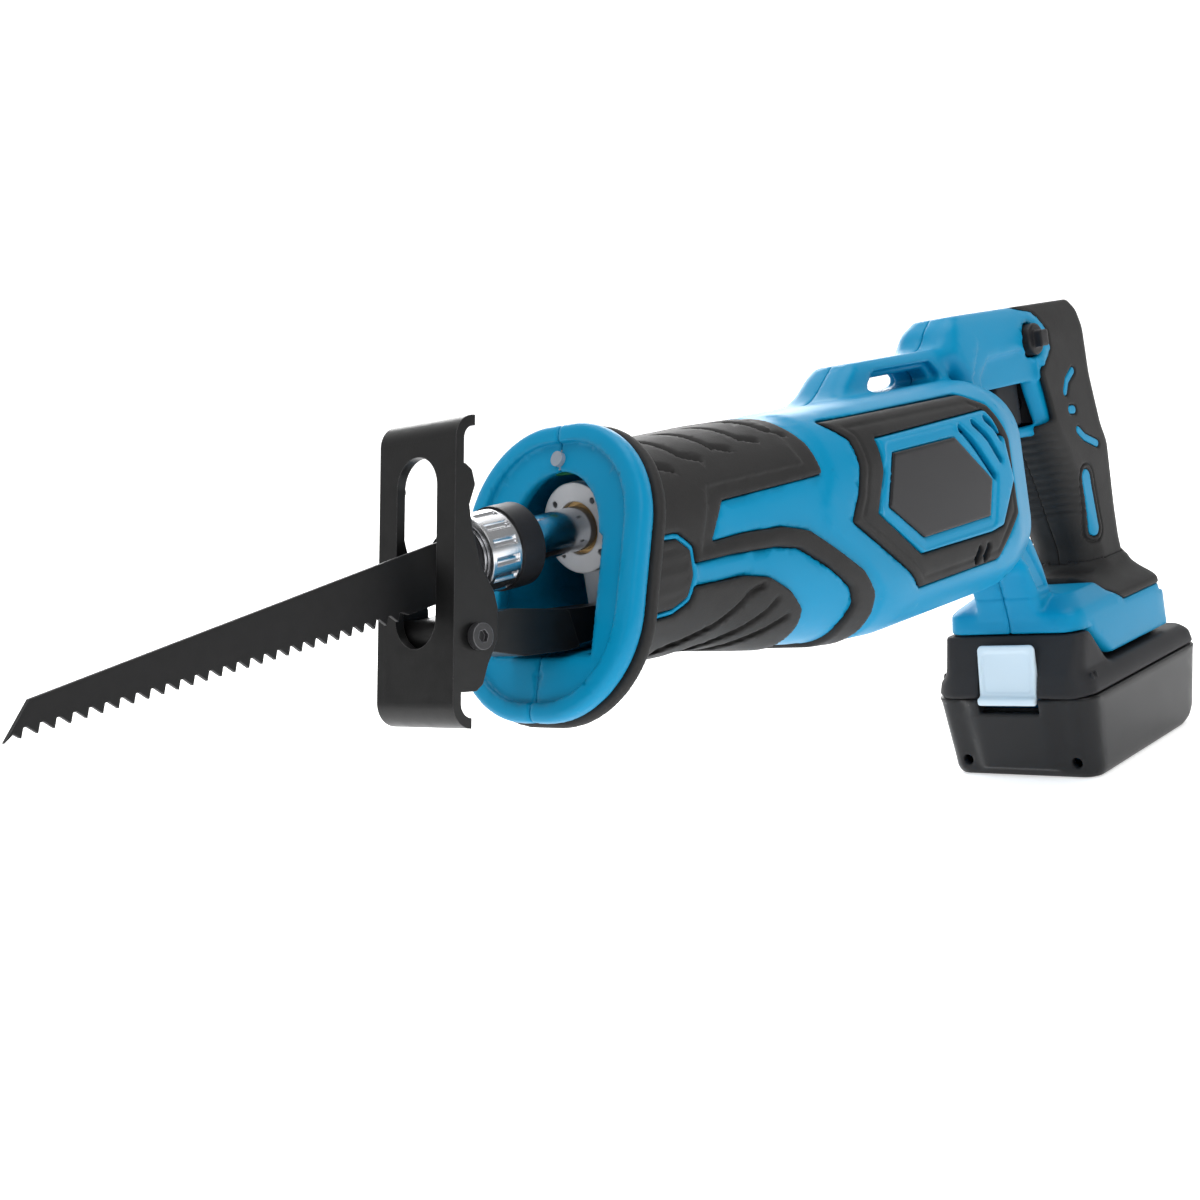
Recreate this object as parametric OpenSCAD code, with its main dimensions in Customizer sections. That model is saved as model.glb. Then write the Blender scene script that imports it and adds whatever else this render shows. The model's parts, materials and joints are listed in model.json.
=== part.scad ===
// Cordless reciprocating saw with a slide-on battery, as an assembly of separate pieces.
// +X runs to the rear, the blade points to -X, +Z is up, and the tool is mirrored about Y = 0.
// The origin is the middle of the battery's flat foot.  All sizes are in millimetres.

/* [Battery] */
// Length of the battery case
battery_l = 113; // [112:0.5:114]
// Width of the battery case
battery_w = 75; // [74:0.5:76]
// Height of the seam between the two halves of the battery case
battery_seam = 36; // [35:0.5:37]

/* [Body] */
// Height of the stroke axis above the battery's foot
stroke_z = 153; // [152:0.5:154]
// Height of the motor axis above the battery's foot
motor_z = 134; // [133.5:0.5:134.5]
// Half width of the motor housing
housing_hw = 39.5; // [38.5:0.5:40]
// Thickness of the moulded walls
wall = 2.6; // [2.2:0.1:3]
// Thickness of the rubber on the nose
rubber = 3.4; // [3:0.1:3.8]
// Lean of the front flange, top towards the rear
flange_lean = 22; // [20:1:24]

/* [Drive] */
// Stroke of the plunger
stroke = 20; // [16:1:20]
// Diameter of the plunger
plunger_d = 14; // [13:0.5:14]
// Teeth on the motor pinion
pinion_teeth = 8; // [8:1:8]
// Teeth on the crown gear
gear_teeth = 36; // [36:1:36]

/* [Blade and shoe] */
// Length of the blade with its tang
blade_l = 150; // [140:1:152]
// Distance between two teeth (six to the inch)
tooth_pitch = 4.233; // [3.6:0.001:5]
// Thickness of the blade
blade_t = 1.3; // [1:0.1:1.6]
// Lean of the shoe, top towards the rear
shoe_lean = 14.5; // [13:0.5:16]

/* [Hidden] */
$fn = 48;

slit = 0.02;              // thickness of the slices that a hull joins
gap = 0.3;                // clearance between pieces that move past each other
half_l = battery_l / 2;
blue = [0.06, 0.55, 0.78];
black = [0.10, 0.10, 0.11];
steel = [0.72, 0.73, 0.75];

// Stations along the barrel: x, half width, lowest z, highest z, corner radius
BARREL = [
    [-268, 34.5, 107, 176.5, 27], [-244, 36.5, 101, 176.5, 28],
    [-218, 38.5, 95.5, 176.5, 28], [-200, 39.3, 93, 176.5, 27],
    [-184, housing_hw, 91.5, 176.5, 24], [-98, housing_hw, 91, 176, 24],
    [-78, 34, 94, 172, 23], [-68, 27, 101, 165, 20]
];
// Stations up the grip: z, front x, rear x, half width, corner radius
GRIP = [
    [78, 4, 42, 17, 12], [90, 4, 41.5, 16, 12], [104, -2, 41, 16, 12], [120, -8, 40.5, 16.5, 12],
    [134, -15, 40, 17, 12], [143, -20, 35, 17, 11], [166, -29, 30.5, 16, 9], [187, -29, 31, 15, 8],
    [196, -30, 29, 13, 6], [200.3, -30, 25, 10.5, 5]
];
// Screws that join the two shells: x, z, and how far out the head's seat is
SCREWS = [
    [-180, 98, 27], [-96, 98, 27], [-180, 170, 25], [-96, 170, 25], [-84, 182, 11],
    [8, 140, 10.5], [22, 98, 9.5], [-43, 68, 22]
];
handle_hw = 16;
handle_top = 200.5;
loop_top = 188.8;

flange_x = -319.5;
flange_z = 143;
flange_hw = 38.5;
flange_hh = 46.6;
flange_t = 7;

gear_x = -222;
gear_r = 22.5;
tooth_w = 1.7;
crank_r = stroke / 2;
crank_pin_r = 4;
plunger_r = plunger_d / 2;
window = crank_r + crank_pin_r + 0.5;
motor_front = -156;
motor_rear = -96;
motor_r = 30;
clamp_x = -329;           // rear face of the blade clamp
shoe_x = -369;            // front face of the shoe at the height of the stroke axis
pivot_x = -365.3;
pivot_z = 132.3;
pivot_r = 2.6;
plate_t = 3;
base_front = -48.5;
base_rear = 40.5;
base_hw = 32;

// ---------- helpers ----------

// Four short rods whose hull is a rounded section standing across the tool
module ring(s) {
    for (y = [-s[1] + s[4], s[1] - s[4]], z = [s[2] + s[4], s[3] - s[4]])
        translate([s[0], y, z]) rotate([0, 90, 0]) cylinder(r = s[4], h = slit, $fn = 32);
}

// Four short rods whose hull is a rounded section lying flat at height z
module plan(s) {
    for (x = [s[1] + s[4], s[2] - s[4]], y = [-s[3] + s[4], s[3] - s[4]])
        translate([x, y, s[0]]) cylinder(r = s[4], h = slit, $fn = 32);
}

module loft(stations) {
    for (i = [0 : len(stations) - 2]) hull() {
        ring(stations[i]);
        ring(stations[i + 1]);
    }
}

module loft_up(stations) {
    for (i = [0 : len(stations) - 2]) hull() {
        plan(stations[i]);
        plan(stations[i + 1]);
    }
}

function inset(st, d) = [for (s = st) [s[0], s[1] - d, s[2] + d, s[3] - d, s[4] - d]];
function inset_up(st, d) = [for (s = st) [s[0], s[1] + d, s[2] - d, s[3] - d, s[4] - d]];

// Extrudes an outline drawn in x and z across the tool, from y0 to y1
module across(y0, y1) {
    translate([0, y1, 0]) rotate([90, 0, 0]) linear_extrude(y1 - y0) children();
}

// A round bar along +X from x0 to x1 at height z
module bar_x(x0, x1, z, r) {
    translate([x0, 0, z]) rotate([0, 90, 0]) cylinder(r = r, h = x1 - x0);
}

module tube_x(x0, x1, z, r_out, r_in) {
    difference() {
        bar_x(x0, x1, z, r_out);
        bar_x(x0 - 1, x1 + 1, z, r_in);
    }
}

module left_half() {
    intersection() {
        children();
        translate([-400, -60, -10]) cube([500, 60, 240]);
    }
}

module right_half() {
    intersection() {
        children();
        translate([-400, 0, -10]) cube([500, 60, 240]);
    }
}

module both_sides() {
    children();
    mirror([0, 1, 0]) children();
}

module at_flange() {
    translate([flange_x, 0, flange_z]) rotate([0, flange_lean, 0]) children();
}

// Rods of a leaning oval slab, set back by depth from the flange's front face
module oval(depth, hw, hh, r) {
    at_flange() ring([depth, hw, -hh, hh, r]);
}

// A coil spring drawn as a thin sleeve, standing from the origin along +Z
module coil(r, wire, h) {
    difference() {
        cylinder(r = r, h = h);
        translate([0, 0, -1]) cylinder(r = r - wire, h = h + 2);
    }
}

// ---------- outer shells ----------

// The barrel's whole body, drawn in by d
module barrel(d) {
    hull() {
        oval(flange_t, 33 - d, 38 - d, 30 - d);
        ring(inset(BARREL, d)[0]);
    }
    loft(inset(BARREL, d));
}

module flange_solid() {
    hull() {
        oval(0, flange_hw - 2, flange_hh - 2, 32);
        oval(2, flange_hw, flange_hh, 34);
        oval(flange_t, flange_hw, flange_hh, 34);
    }
}

// The blocks that carry the hand: top bar, carry loop, column to the base and the base itself
module top_bar() {
    hull() {
        plan([172, -80, 20, handle_hw, 8]);
        plan([186, -91, 28, handle_hw - 1, 6]);
        plan([196, -84, 31, handle_hw - 3, 5]);
        plan([handle_top - slit, -78, 27, handle_hw - 6, 5]);
    }
}

module carry_loop() {
    difference() {
        hull() {
            plan([174, -172, -90, 12, 4]);
            plan([186, -156, -90, 11, 4]);
            plan([loop_top, -152, -90, 9, 3]);
        }
        across(-20, 20) polygon([[-147, 170], [-140, 182], [-97, 182], [-97, 170]]);
    }
}

module column() {
    hull() {
        plan([112, -75, -62, 15, 5]);
        plan([104, -70, -44, 15.5, 5]);
    }
    hull() {
        plan([104, -70, -44, 15.5, 5]);
        plan([90, -53, -37, 15.5, 5]);
    }
    hull() {
        plan([90, -53, -37, 15.5, 5]);
        plan([70, -48.2, -31, 15.5, 4]);
    }
}

module base_solid() {
    hull() {
        plan([62, base_front, base_rear, base_hw, 9]);
        plan([71, base_front + 1, base_rear - 1, base_hw - 1, 8]);
        plan([77, base_front + 12, base_rear - 4, base_hw - 9, 8]);
    }
    hull() {
        plan([62.5, -37, base_rear, base_hw, 5]);
        plan([61, -37, base_rear, base_hw, 5]);
        plan([47.5, -22, base_rear, base_hw, 5]);
    }
}

// Space that the battery's top slides into, with a lip under each of its rails
module battery_bay() {
    translate([-60, -27.8, 54.3]) cube([98, 55.6, 7.7]);
    translate([-60, -24.3, 46]) cube([98, 48.6, 9]);
    translate([-60, -27.8, 46]) cube([98, 55.6, 3.5]);
    translate([-60, -40, 40]) cube([22, 80, 22]);
}

module trigger_port() {
    across(-8.2, 8.2) polygon([[-60, 148.5], [-60, 172.5], [-6, 172.5], [-6, 148.5]]);
}

// Openings for the plunger and the shoe's arm in the front flange
module nose_port() {
    bar_x(-360, -299, stroke_z - 1, 19);
    translate([-360, -21, 117.5]) cube([61, 42, 34]);
}

// Stands the children on each screw's axis, with their own z = 0 at the head's seat, pointing out
module at_screws() {
    for (s = SCREWS) translate([s[0], s[2], s[1]]) rotate([-90, 0, 0]) children();
}

module screw_bosses() {
    intersection() {
        for (s = SCREWS) translate([s[0], 0, s[1]]) rotate([90, 0, 0])
            cylinder(r = 4.6, h = 80, center = true, $fn = 24);
        union() {
            barrel(rubber);
            intersection() {
                barrel(1);
                translate([-195, -60, 60]) cube([200, 120, 140]);
            }
            loft_up(inset_up(GRIP, 3));
        }
    }
}

module screw_holes() {
    at_screws() {
        translate([0, 0, -30]) cylinder(r = 2, h = 31, $fn = 24);
        cylinder(r = 3.7, h = 40, $fn = 24);
    }
}

// What the nose's rubber covers, seen from the side: all but a window and a band of the body
module sleeve_area() {
    difference() {
        polygon([
            [-345, 60], [-345, 200], [-226, 200], [-222.5, 173], [-220, 165], [-220, 154.6],
            [-270.4, 154], [-278.4, 142.3], [-262, 142.4], [-244, 141.1], [-232, 137.6],
            [-221, 130], [-207, 119.6], [-200.4, 110.5], [-199, 103], [-199, 60]
        ]);
        polygon([
            [-300, 137.8], [-270.6, 137], [-248.5, 135.4], [-238, 133], [-225.7, 125.1],
            [-213.2, 115], [-210.2, 109], [-212, 102], [-212, 60], [-233, 60], [-235.3, 107.2],
            [-237, 112.8], [-244.6, 120.4], [-254, 126.4], [-265.2, 129.1], [-300, 130.8]
        ]);
        offset(delta = 1.3) side_pad_outline();
    }
}

// Groove in the barrel that an outline's rubber sits in
module groove() {
    difference() {
        across(-60, 60) offset(delta = 0.15) children();
        barrel(rubber);
    }
}

module shell_solid() {
    difference() {
        union() {
            difference() {
                union() {
                    flange_solid();
                    difference() {
                        barrel(0);
                        groove() sleeve_area();
                        groove() side_pad_outline();
                    }
                    top_bar();
                    carry_loop();
                    column();
                    loft_up(inset_up(GRIP, 3));
                    base_solid();
                }
                barrel_cavity();
                handle_cavity();
                grip_skin(0.3, 3);
                base_cap_solid(0.1);
            }
            screw_bosses();
        }
        battery_bay();
        trigger_port();
        nose_port();
        both_sides() band_recess();
        at_flange() translate([-3, 0, 0]) ring_slot();
        lamp_pocket();
        lock_bore();
        screw_holes();
        translate([1.8, -14.2, 61]) cube([30.4, 28.4, 2.6]);
    }
    both_sides() intersection() {
        difference() {
            nose_solid(0.8);
            nose_solid(rubber + 0.5);
        }
        across(-60, -20) window_outline();
    }
}

// Hollow of the barrel, narrower behind the rubber
module barrel_cavity() {
    barrel(rubber + wall);
    intersection() {
        barrel(wall);
        translate([-196, -60, 60]) cube([200, 120, 140]);
    }
}

module handle_cavity() {
    hull() {
        plan([150, -22, 16, 10.6, 5]);
        plan([184, -74, 22, 10.6, 5]);
        plan([192, -72, 20, 8, 5]);
    }
    hull() {
        plan([63.5, -4, 32, 20, 5]);
        plan([80, 10, 34, 11, 5]);
        plan([100, 6, 34, 10.6, 5]);
    }
    hull() {
        plan([99, 6, 34, 10.6, 5]);
        plan([151, -16, 24, 10.6, 5]);
    }
}

// Shallow face inside the flange's raised rim
module ring_slot() {
    difference() {
        hull() {
            ring([0, 31, -40.5, 40.5, 27]);
            ring([4.2, 31, -40.5, 40.5, 27]);
        }
        translate([4, -60, -60]) cube([20, 120, 120]);
    }
}

module lamp_pocket() {
    at_flange() {
        translate([-1, 0, 35.4]) rotate([0, 90, 0]) cylinder(r = 2.5, h = 6);
        translate([2.5, 0, 35.4]) rotate([0, 90, 0]) cylinder(r = 3.3, h = 2.4);
        translate([4.85, -4.1, 31.4]) cube([1.45, 8.2, 8.2]);
    }
}

module lock_bore() {
    translate([-21.7, 0, 185.5]) rotate([90, 0, 0]) cylinder(r = 7.5, h = 40, center = true);
}

// Side covers, the bands around them and the plates on them: x from cover_x, then z
cover_x = -154;
cover_outline = [
    [-40, 137], [-33.5, 150], [-33, 162], [43, 163], [51, 151], [54.5, 134.5], [42, 118.5],
    [33, 117.5], [-17, 118.5]
];
band_outline = [
    [-52, 171], [-45, 163.6], [-45.5, 154.5], [-49, 144.7], [-54.6, 136.4], [-24.6, 113.3],
    [-18.5, 106.7], [38, 106.3], [43, 111], [55.5, 121], [55.5, 150], [47.6, 164.7], [36.5, 170.2]
];
plate_outline = [[-27, 156], [15, 156], [38, 137], [33, 123.5], [-14.5, 123.7], [-34, 138]];

module side_slab(y0, y1, grow) {
    translate([cover_x, 0, 0]) across(y0, y1) offset(delta = grow) children();
}

module band_recess() {
    difference() {
        side_slab(-60, -20, 0.15) polygon(band_outline);
        barrel(2);
    }
}

module left_shell() {
    color(blue) left_half() shell_solid();
}

module right_shell() {
    color(blue) right_half() shell_solid();
}

// ---------- rubber, covers and trim ----------

module nose_sleeve() {
    color(black) difference() {
        union() {
            intersection() {
                barrel(-0.8);
                across(-60, 60) sleeve_area();
            }
            hull() {
                oval(flange_t, flange_hw + 0.6, flange_hh + 0.6, 34);
                oval(flange_t + 3, flange_hw + 0.6, flange_hh + 0.6, 34);
                oval(flange_t + 4.5, flange_hw - 1.5, flange_hh - 1.5, 33);
            }
        }
        barrel(rubber - 0.1);
        at_flange() translate([-50, -60, -60]) cube([50.1 + flange_t, 120, 120]);
    }
}

module side_pad_outline() {
    polygon([
        [-304.5, 145.4], [-302.6, 146.6], [-294.5, 146.2], [-289.3, 142], [-289.5, 134],
        [-292.3, 127.6], [-298.3, 125.4], [-309.5, 125.6], [-311.8, 128]
    ]);
}

module side_pads() {
    color(black) both_sides() intersection() {
        difference() {
            barrel(-0.5);
            barrel(rubber);
        }
        across(-60, -20) side_pad_outline();
    }
}

module side_bands() {
    color(black) both_sides() intersection() {
        difference() {
            barrel(-1);
            barrel(2);
        }
        difference() {
            side_slab(-60, -20, 0) polygon(band_outline);
            side_slab(-61, -19, 0.15) polygon(cover_outline);
        }
    }
}

module cover_solid() {
    difference() {
        intersection() {
            difference() {
                barrel(-1.6);
                barrel(2);
            }
            side_slab(-60, -20, 0) polygon(cover_outline);
        }
        for (i = [0 : 2]) translate([7 * i, 0, 0]) side_slab(-60, -20, 0) polygon([
            [22, 160.5], [25.5, 160.5], [40 - 2 * i, 148 + i], [40 - 2 * i, 145 + i], [38 - 2 * i, 145 + i]
        ]);
        side_slab(-61, -39.4, 0.2) polygon(plate_outline);
    }
}

module left_motor_cover() {
    color(blue) cover_solid();
}

module right_motor_cover() {
    color(blue) mirror([0, 1, 0]) cover_solid();
}

module nameplates() {
    color(black) both_sides() side_slab(-40.7, -39.5, 0) polygon(plate_outline);
}

// Rubber skin of the grip: proud of the stations by d, hollow from an inset of e
module grip_skin(d, e) {
    difference() {
        loft_up(inset_up(GRIP, -d));
        loft_up(inset_up(GRIP, e));
        across(-22, 22) polygon([
            [-70, 210], [-31, 210], [-31, 200], [-14, 197], [-7, 189], [-7.5, 180], [-25, 171],
            [-28, 150], [-41, 146], [-70, 146]
        ]);
    }
}

module grip_solid() {
    difference() {
        grip_skin(0.2, 2.9);
        lock_bore();
        trigger_port();
        at_screws() cylinder(r = 4, h = 40, $fn = 24);
    }
}

module left_grip() {
    color(black) left_half() grip_solid();
}

module right_grip() {
    color(black) right_half() grip_solid();
}

module inlay(points) {
    for (i = [0 : len(points) - 2]) hull() for (p = [points[i], points[i + 1]])
        translate([p[0], -17.4, p[1]]) rotate([90, 0, 0]) cylinder(r = 1.6, h = 0.8, $fn = 24);
}

module grip_inlays() {
    color(blue) both_sides() {
        inlay([[14, 168], [9, 159], [9, 153]]);
        inlay([[17, 143], [17.1, 143]]);
        inlay([[15, 136], [20, 130], [28, 127]]);
        inlay([[18, 118], [24, 90]]);
    }
}

module base_cap_solid(d) {
    difference() {
        hull() {
            plan([68 - d, -8 - d, base_rear + 0.4 + d, base_hw - 2.5 + d, 8]);
            plan([72.5, -9 - d, base_rear + d, base_hw - 3.5 + d, 8]);
            plan([79.5 + d, -2 - d, 40 + d, 17 + d, 8]);
        }
        hull() {
            plan([60, base_front, base_rear - 2.5 - d, base_hw - 5 - d, 7]);
            plan([76.5 - d, base_front + 12, base_rear - 4.5 - d, base_hw - 9 - d, 7]);
        }
    }
}

module base_cap() {
    color(black) difference() {
        base_cap_solid(0);
        loft_up(inset_up(GRIP, -0.4));
    }
}

module housing_screws() {
    color(steel) at_screws() difference() {
        union() {
            translate([0, 0, -9]) cylinder(r = 1.95, h = 9.5);
            translate([0, 0, 0.05]) cylinder(r = 3.4, h = 2.4);
        }
        translate([0, 0, 1]) cylinder(r = 1.3, h = 3, $fn = 6);
    }
}

module lock_button() {
    color(black) translate([-21.7, 0, 185.5]) {
        rotate([90, 0, 0]) cylinder(r = 6.8, h = 34, center = true);
        translate([-3, -20.5, -3.5]) cube([7, 6, 7]);
    }
}

module trigger() {
    color(black) difference() {
        across(-7.8, 7.8) polygon([
            [-46, 150], [-49, 157], [-48, 164], [-45, 171.5], [-26, 171.5], [-26, 150]
        ]);
        translate([-70, 0, 160.5]) rotate([90, 0, 0]) cylinder(r = 23, h = 30, center = true);
        translate([-33.5, -5, 153]) cube([10, 10, 12]);
    }
}

module trigger_spring() {
    color(steel) translate([-33.3, 0, 159]) rotate([0, 90, 0]) coil(3.5, 0.8, 14.8);
}

module switch_body() {
    color([0.15, 0.15, 0.16]) difference() {
        translate([-18.3, -9, 150]) cube([30, 18, 26]);
        translate([-18.4, 0, 159]) rotate([0, 90, 0]) cylinder(r = 4, h = 4);
    }
}

module led_lens() {
    color([0.92, 0.95, 1.0]) at_flange() translate([0.6, 0, 35.4]) rotate([0, 90, 0]) {
        cylinder(r = 2.4, h = 4.3);
        translate([0, 0, 2]) cylinder(r = 3.2, h = 1.4);
    }
}

module led_board() {
    color([0.10, 0.35, 0.18]) at_flange() translate([5, -4, 31.5]) cube([1.2, 8, 8]);
}

// ---------- gearbox and plunger ----------

gearbox_hw = 29.4;

module rounded(half_u, half_v, r) {
    hull() for (u = [-half_u + r, half_u - r], v = [-half_v + r, half_v - r])
        translate([u, v]) circle(r = r, $fn = 32);
}

// The gearbox's rounded block, drawn in by d on every side
module gearbox_block(d) {
    intersection() {
        translate([-225, 0, 110]) linear_extrude(60) rounded(39 - d, gearbox_hw - d, 16 - d);
        translate([-270, 0, 141]) rotate([90, 0, 90]) linear_extrude(90)
            rounded(gearbox_hw - d, 22 - d, 16 - d);
    }
}

module gearbox_housing() {
    color([0.66, 0.67, 0.68]) difference() {
        union() {
            difference() {
                gearbox_block(0);
                gearbox_block(wall);
                translate([-300, -60, 158]) cube([130, 120, 20]);
            }
            bar_x(-299, -259, stroke_z, 14.5);
            translate([-293, -9, 126]) cube([32, 18, 20]);
            translate([-290, -12, 133]) rotate([0, 90, 0]) cylinder(r = 5.5, h = 28);
            bar_x(-195.5, -187, motor_z, 14);
            translate([-195.5, -10, 142]) cube([8.5, 20, 16]);
            translate([gear_x, 0, 119.2]) cylinder(r = 9, h = 4.2);
        }
        bar_x(-320, -256, stroke_z, 9.5);
        bar_x(-200, -178, motor_z, 11);
        bar_x(-200, -178, stroke_z, 7.5);
        translate([gear_x, 0, 110]) cylinder(r = 5, h = 20);
        translate([-294, -12, 133]) rotate([0, 90, 0]) cylinder(r = 2, h = 14);
    }
}

module gearbox_cover() {
    color([0.60, 0.61, 0.63]) intersection() {
        difference() {
            gearbox_block(0);
            gearbox_block(wall);
            bar_x(-320, -256, stroke_z, 14.6);
            bar_x(-200, -178, stroke_z, 7.6);
        }
        translate([-300, -60, 158.05]) cube([130, 120, 20]);
    }
}

module nose_ring() {
    color([0.75, 0.76, 0.77]) difference() {
        tube_x(-301.5, -299, stroke_z, 14.4, 8.4);
        for (a = [45 : 90 : 315]) translate([-303, 0, stroke_z]) rotate([a, 0, 0])
            translate([0, 0, 11.4]) rotate([0, 90, 0]) cylinder(r = 1, h = 6);
    }
}

module front_bush() {
    color([0.80, 0.62, 0.32]) tube_x(-299, -262, stroke_z, 9.5, plunger_r + 0.04);
}

module rear_bush() {
    color([0.80, 0.62, 0.32]) tube_x(-195.5, -184, stroke_z, 7.5, 5.04);
}

module gear_axle() {
    color(steel) translate([gear_x, 0, 119.5]) {
        cylinder(r = 5, h = 20.4);
        translate([0, 0, 4]) cylinder(r = 7, h = 3);
    }
}

module gear_bush() {
    color([0.80, 0.62, 0.32]) translate([gear_x, 0, 127]) difference() {
        cylinder(r = 8, h = 13.4);
        translate([0, 0, -1]) cylinder(r = 5.04, h = 20);
    }
}

module drive_gear() {
    color([0.45, 0.46, 0.48]) translate([gear_x, 0, motor_z]) difference() {
        union() {
            translate([0, 0, 6.4]) cylinder(r = 26, h = 5.4);
            translate([0, 0, -2]) cylinder(r = 12, h = 9);
            for (i = [0 : gear_teeth - 1]) rotate([0, 0, (i + 0.5) * 360 / gear_teeth])
                translate([20.5, -tooth_w / 2, 4.3]) cube([5, tooth_w, 2.2]);
        }
        translate([0, 0, -10]) cylinder(r = 8, h = 16.4);
        translate([0, crank_r, 5]) cylinder(r = crank_pin_r, h = 10);
    }
}

module crank_pin() {
    color(steel) translate([gear_x, crank_r, motor_z + 6.5]) {
        cylinder(r = crank_pin_r, h = 5.6);
        translate([0, 0, 5.3]) cylinder(r = crank_pin_r + 1, h = 2.6);
    }
}

module plunger() {
    color([0.80, 0.81, 0.83]) difference() {
        union() {
            bar_x(clamp_x - 21, gear_x - 6, stroke_z, plunger_r);
            translate([gear_x - 9, -19, stroke_z - 4]) cube([18, 38, 8]);
            bar_x(gear_x + 8, -174, stroke_z, 5);
        }
        translate([gear_x - 4.3, -15, stroke_z - 10]) cube([8.6, 30, 20]);
        translate([gear_x - 27, -8, stroke_z - 13]) cube([50, 16, 9]);
        translate([clamp_x - 8, 0, stroke_z]) rotate([90, 0, 0]) cylinder(r = 2.1, h = 12);
        translate([clamp_x - 22, -blade_t / 2 - 0.15, stroke_z - 7.2]) cube([18, blade_t + 0.3, 14.4]);
    }
}

module plunger_seal() {
    color(black) tube_x(-262, -257, stroke_z, 9.4, plunger_r + 0.1);
}

// ---------- blade clamp ----------

module clamp_body() {
    color(steel) difference() {
        tube_x(clamp_x - 22, clamp_x, stroke_z, 9.6, plunger_r);
        translate([clamp_x - 23, -blade_t / 2 - 0.15, stroke_z - 12]) cube([20, blade_t + 0.3, 24]);
        translate([clamp_x - 8, 0, stroke_z]) rotate([90, 0, 0]) cylinder(r = 2.1, h = 12);
    }
}

module clamp_pin() {
    color(steel) translate([clamp_x - 8, -1, stroke_z]) rotate([90, 0, 0]) cylinder(r = 2, h = 8.5);
}

module clamp_fins() {
    color([0.82, 0.83, 0.84]) translate([clamp_x - 21, 0, stroke_z]) rotate([0, 90, 0]) difference() {
        cylinder(r = 12.2, h = 12);
        translate([0, 0, -1]) cylinder(r = 9.9, h = 14);
        for (i = [0 : 13]) rotate([0, 0, i * 360 / 14]) translate([12.9, 0, 1.5]) cylinder(r = 1.5, h = 9);
    }
}

module clamp_collar() {
    color(black) tube_x(clamp_x - 8.9, clamp_x - 0.2, stroke_z, 12.8, 9.9);
}

module clamp_cap() {
    color(black) translate([clamp_x - 28, 0, stroke_z]) rotate([0, 90, 0]) difference() {
        rotate_extrude() polygon([[0, 0], [7.4, 0], [8.6, 2], [9.4, 4], [9.4, 5.8], [0, 5.8]]);
        translate([-6.5, -blade_t / 2 - 0.15, -1]) cube([13, blade_t + 0.3, 8]);
    }
}

// ---------- blade and shoe ----------

tip_x = clamp_x - 8.6 - blade_l - 10;
tooth_z0 = 137.4;
tooth_slope = 0.021;
tooth_h = 2.3;
tooth_count = floor((blade_l - 26) / tooth_pitch);

function tooth_z(x) = tooth_z0 + (x - tip_x) * tooth_slope;
function tooth(i) = let (x = tip_x + i * tooth_pitch, z = tooth_z(x))
    i == 0 ? [[x, z], [x + 2.6, z + 1.5]] : [[x, z], [x + 1, z + tooth_h], [x + 2, z + tooth_h]];

module blade() {
    root_x = tip_x + tooth_count * tooth_pitch;
    outline = concat([for (i = [0 : tooth_count - 1]) each tooth(i)], [
        [root_x, tooth_z(root_x) + 1], [clamp_x - 33, 142], [clamp_x - 29.5, stroke_z - 6],
        [clamp_x - 5, stroke_z - 6], [clamp_x - 5, stroke_z + 6], [clamp_x - 29.5, stroke_z + 6],
        [clamp_x - 33, 158.8], [tip_x + 8, 145.8]
    ]);
    color([0.09, 0.09, 0.10]) across(-blade_t / 2, blade_t / 2) difference() {
        polygon(outline);
        translate([clamp_x - 8, stroke_z]) circle(r = 2.3);
    }
}

// Runs along the shoe's plate: the origin is on its front face at the stroke axis
module at_shoe() {
    translate([shoe_x, 0, stroke_z]) rotate([0, shoe_lean, 0]) children();
}

module shoe_plate() {
    color([0.08, 0.08, 0.09]) difference() {
        at_shoe() union() {
            difference() {
                translate([0, -16.5, -38]) cube([plate_t, 33, 74.2]);
                translate([-1, 0, -14]) rotate([0, 90, 0]) cylinder(r = 8.7, h = 6);
                translate([-1, 0, 23]) rotate([0, 90, 0]) cylinder(r = 8.7, h = 6);
                translate([-1, -8.7, -14]) cube([6, 17.4, 37]);
            }
            translate([7, -16.5, 36]) curl();
            translate([7, -16.5, -37.8]) mirror([0, 0, 1]) curl();
            for (y = [-16.5, 13.5]) translate([0, y, 0]) rotate([90, 0, 0]) mirror([0, 0, 1])
                linear_extrude(plate_t) offset(1.5) offset(-1.5) polygon([
                    [1, 29], [3.5, 29], [6, 27.5], [7.3, 23.4], [5.2, 17.6], [6.3, 11.6], [9.7, 1],
                    [14.8, -6], [16.4, -10.8], [16.6, -19.5], [12.9, -26.8], [11.1, -32.4],
                    [8.6, -34.4], [1, -34.9]
                ]);
        }
        translate([pivot_x, 0, pivot_z]) rotate([90, 0, 0]) cylinder(r = pivot_r + 0.05, h = 60, center = true);
    }
}

// Quarter of a tube that the plate's end rolls into
module curl() {
    rotate([-90, 0, 0]) difference() {
        cylinder(r = 7, h = 33);
        translate([0, 0, -1]) cylinder(r = 7 - plate_t, h = 35);
        translate([0, -10, -1]) cube([10, 20, 35]);
        translate([-10, 0, -1]) cube([20, 10, 35]);
    }
}

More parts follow.
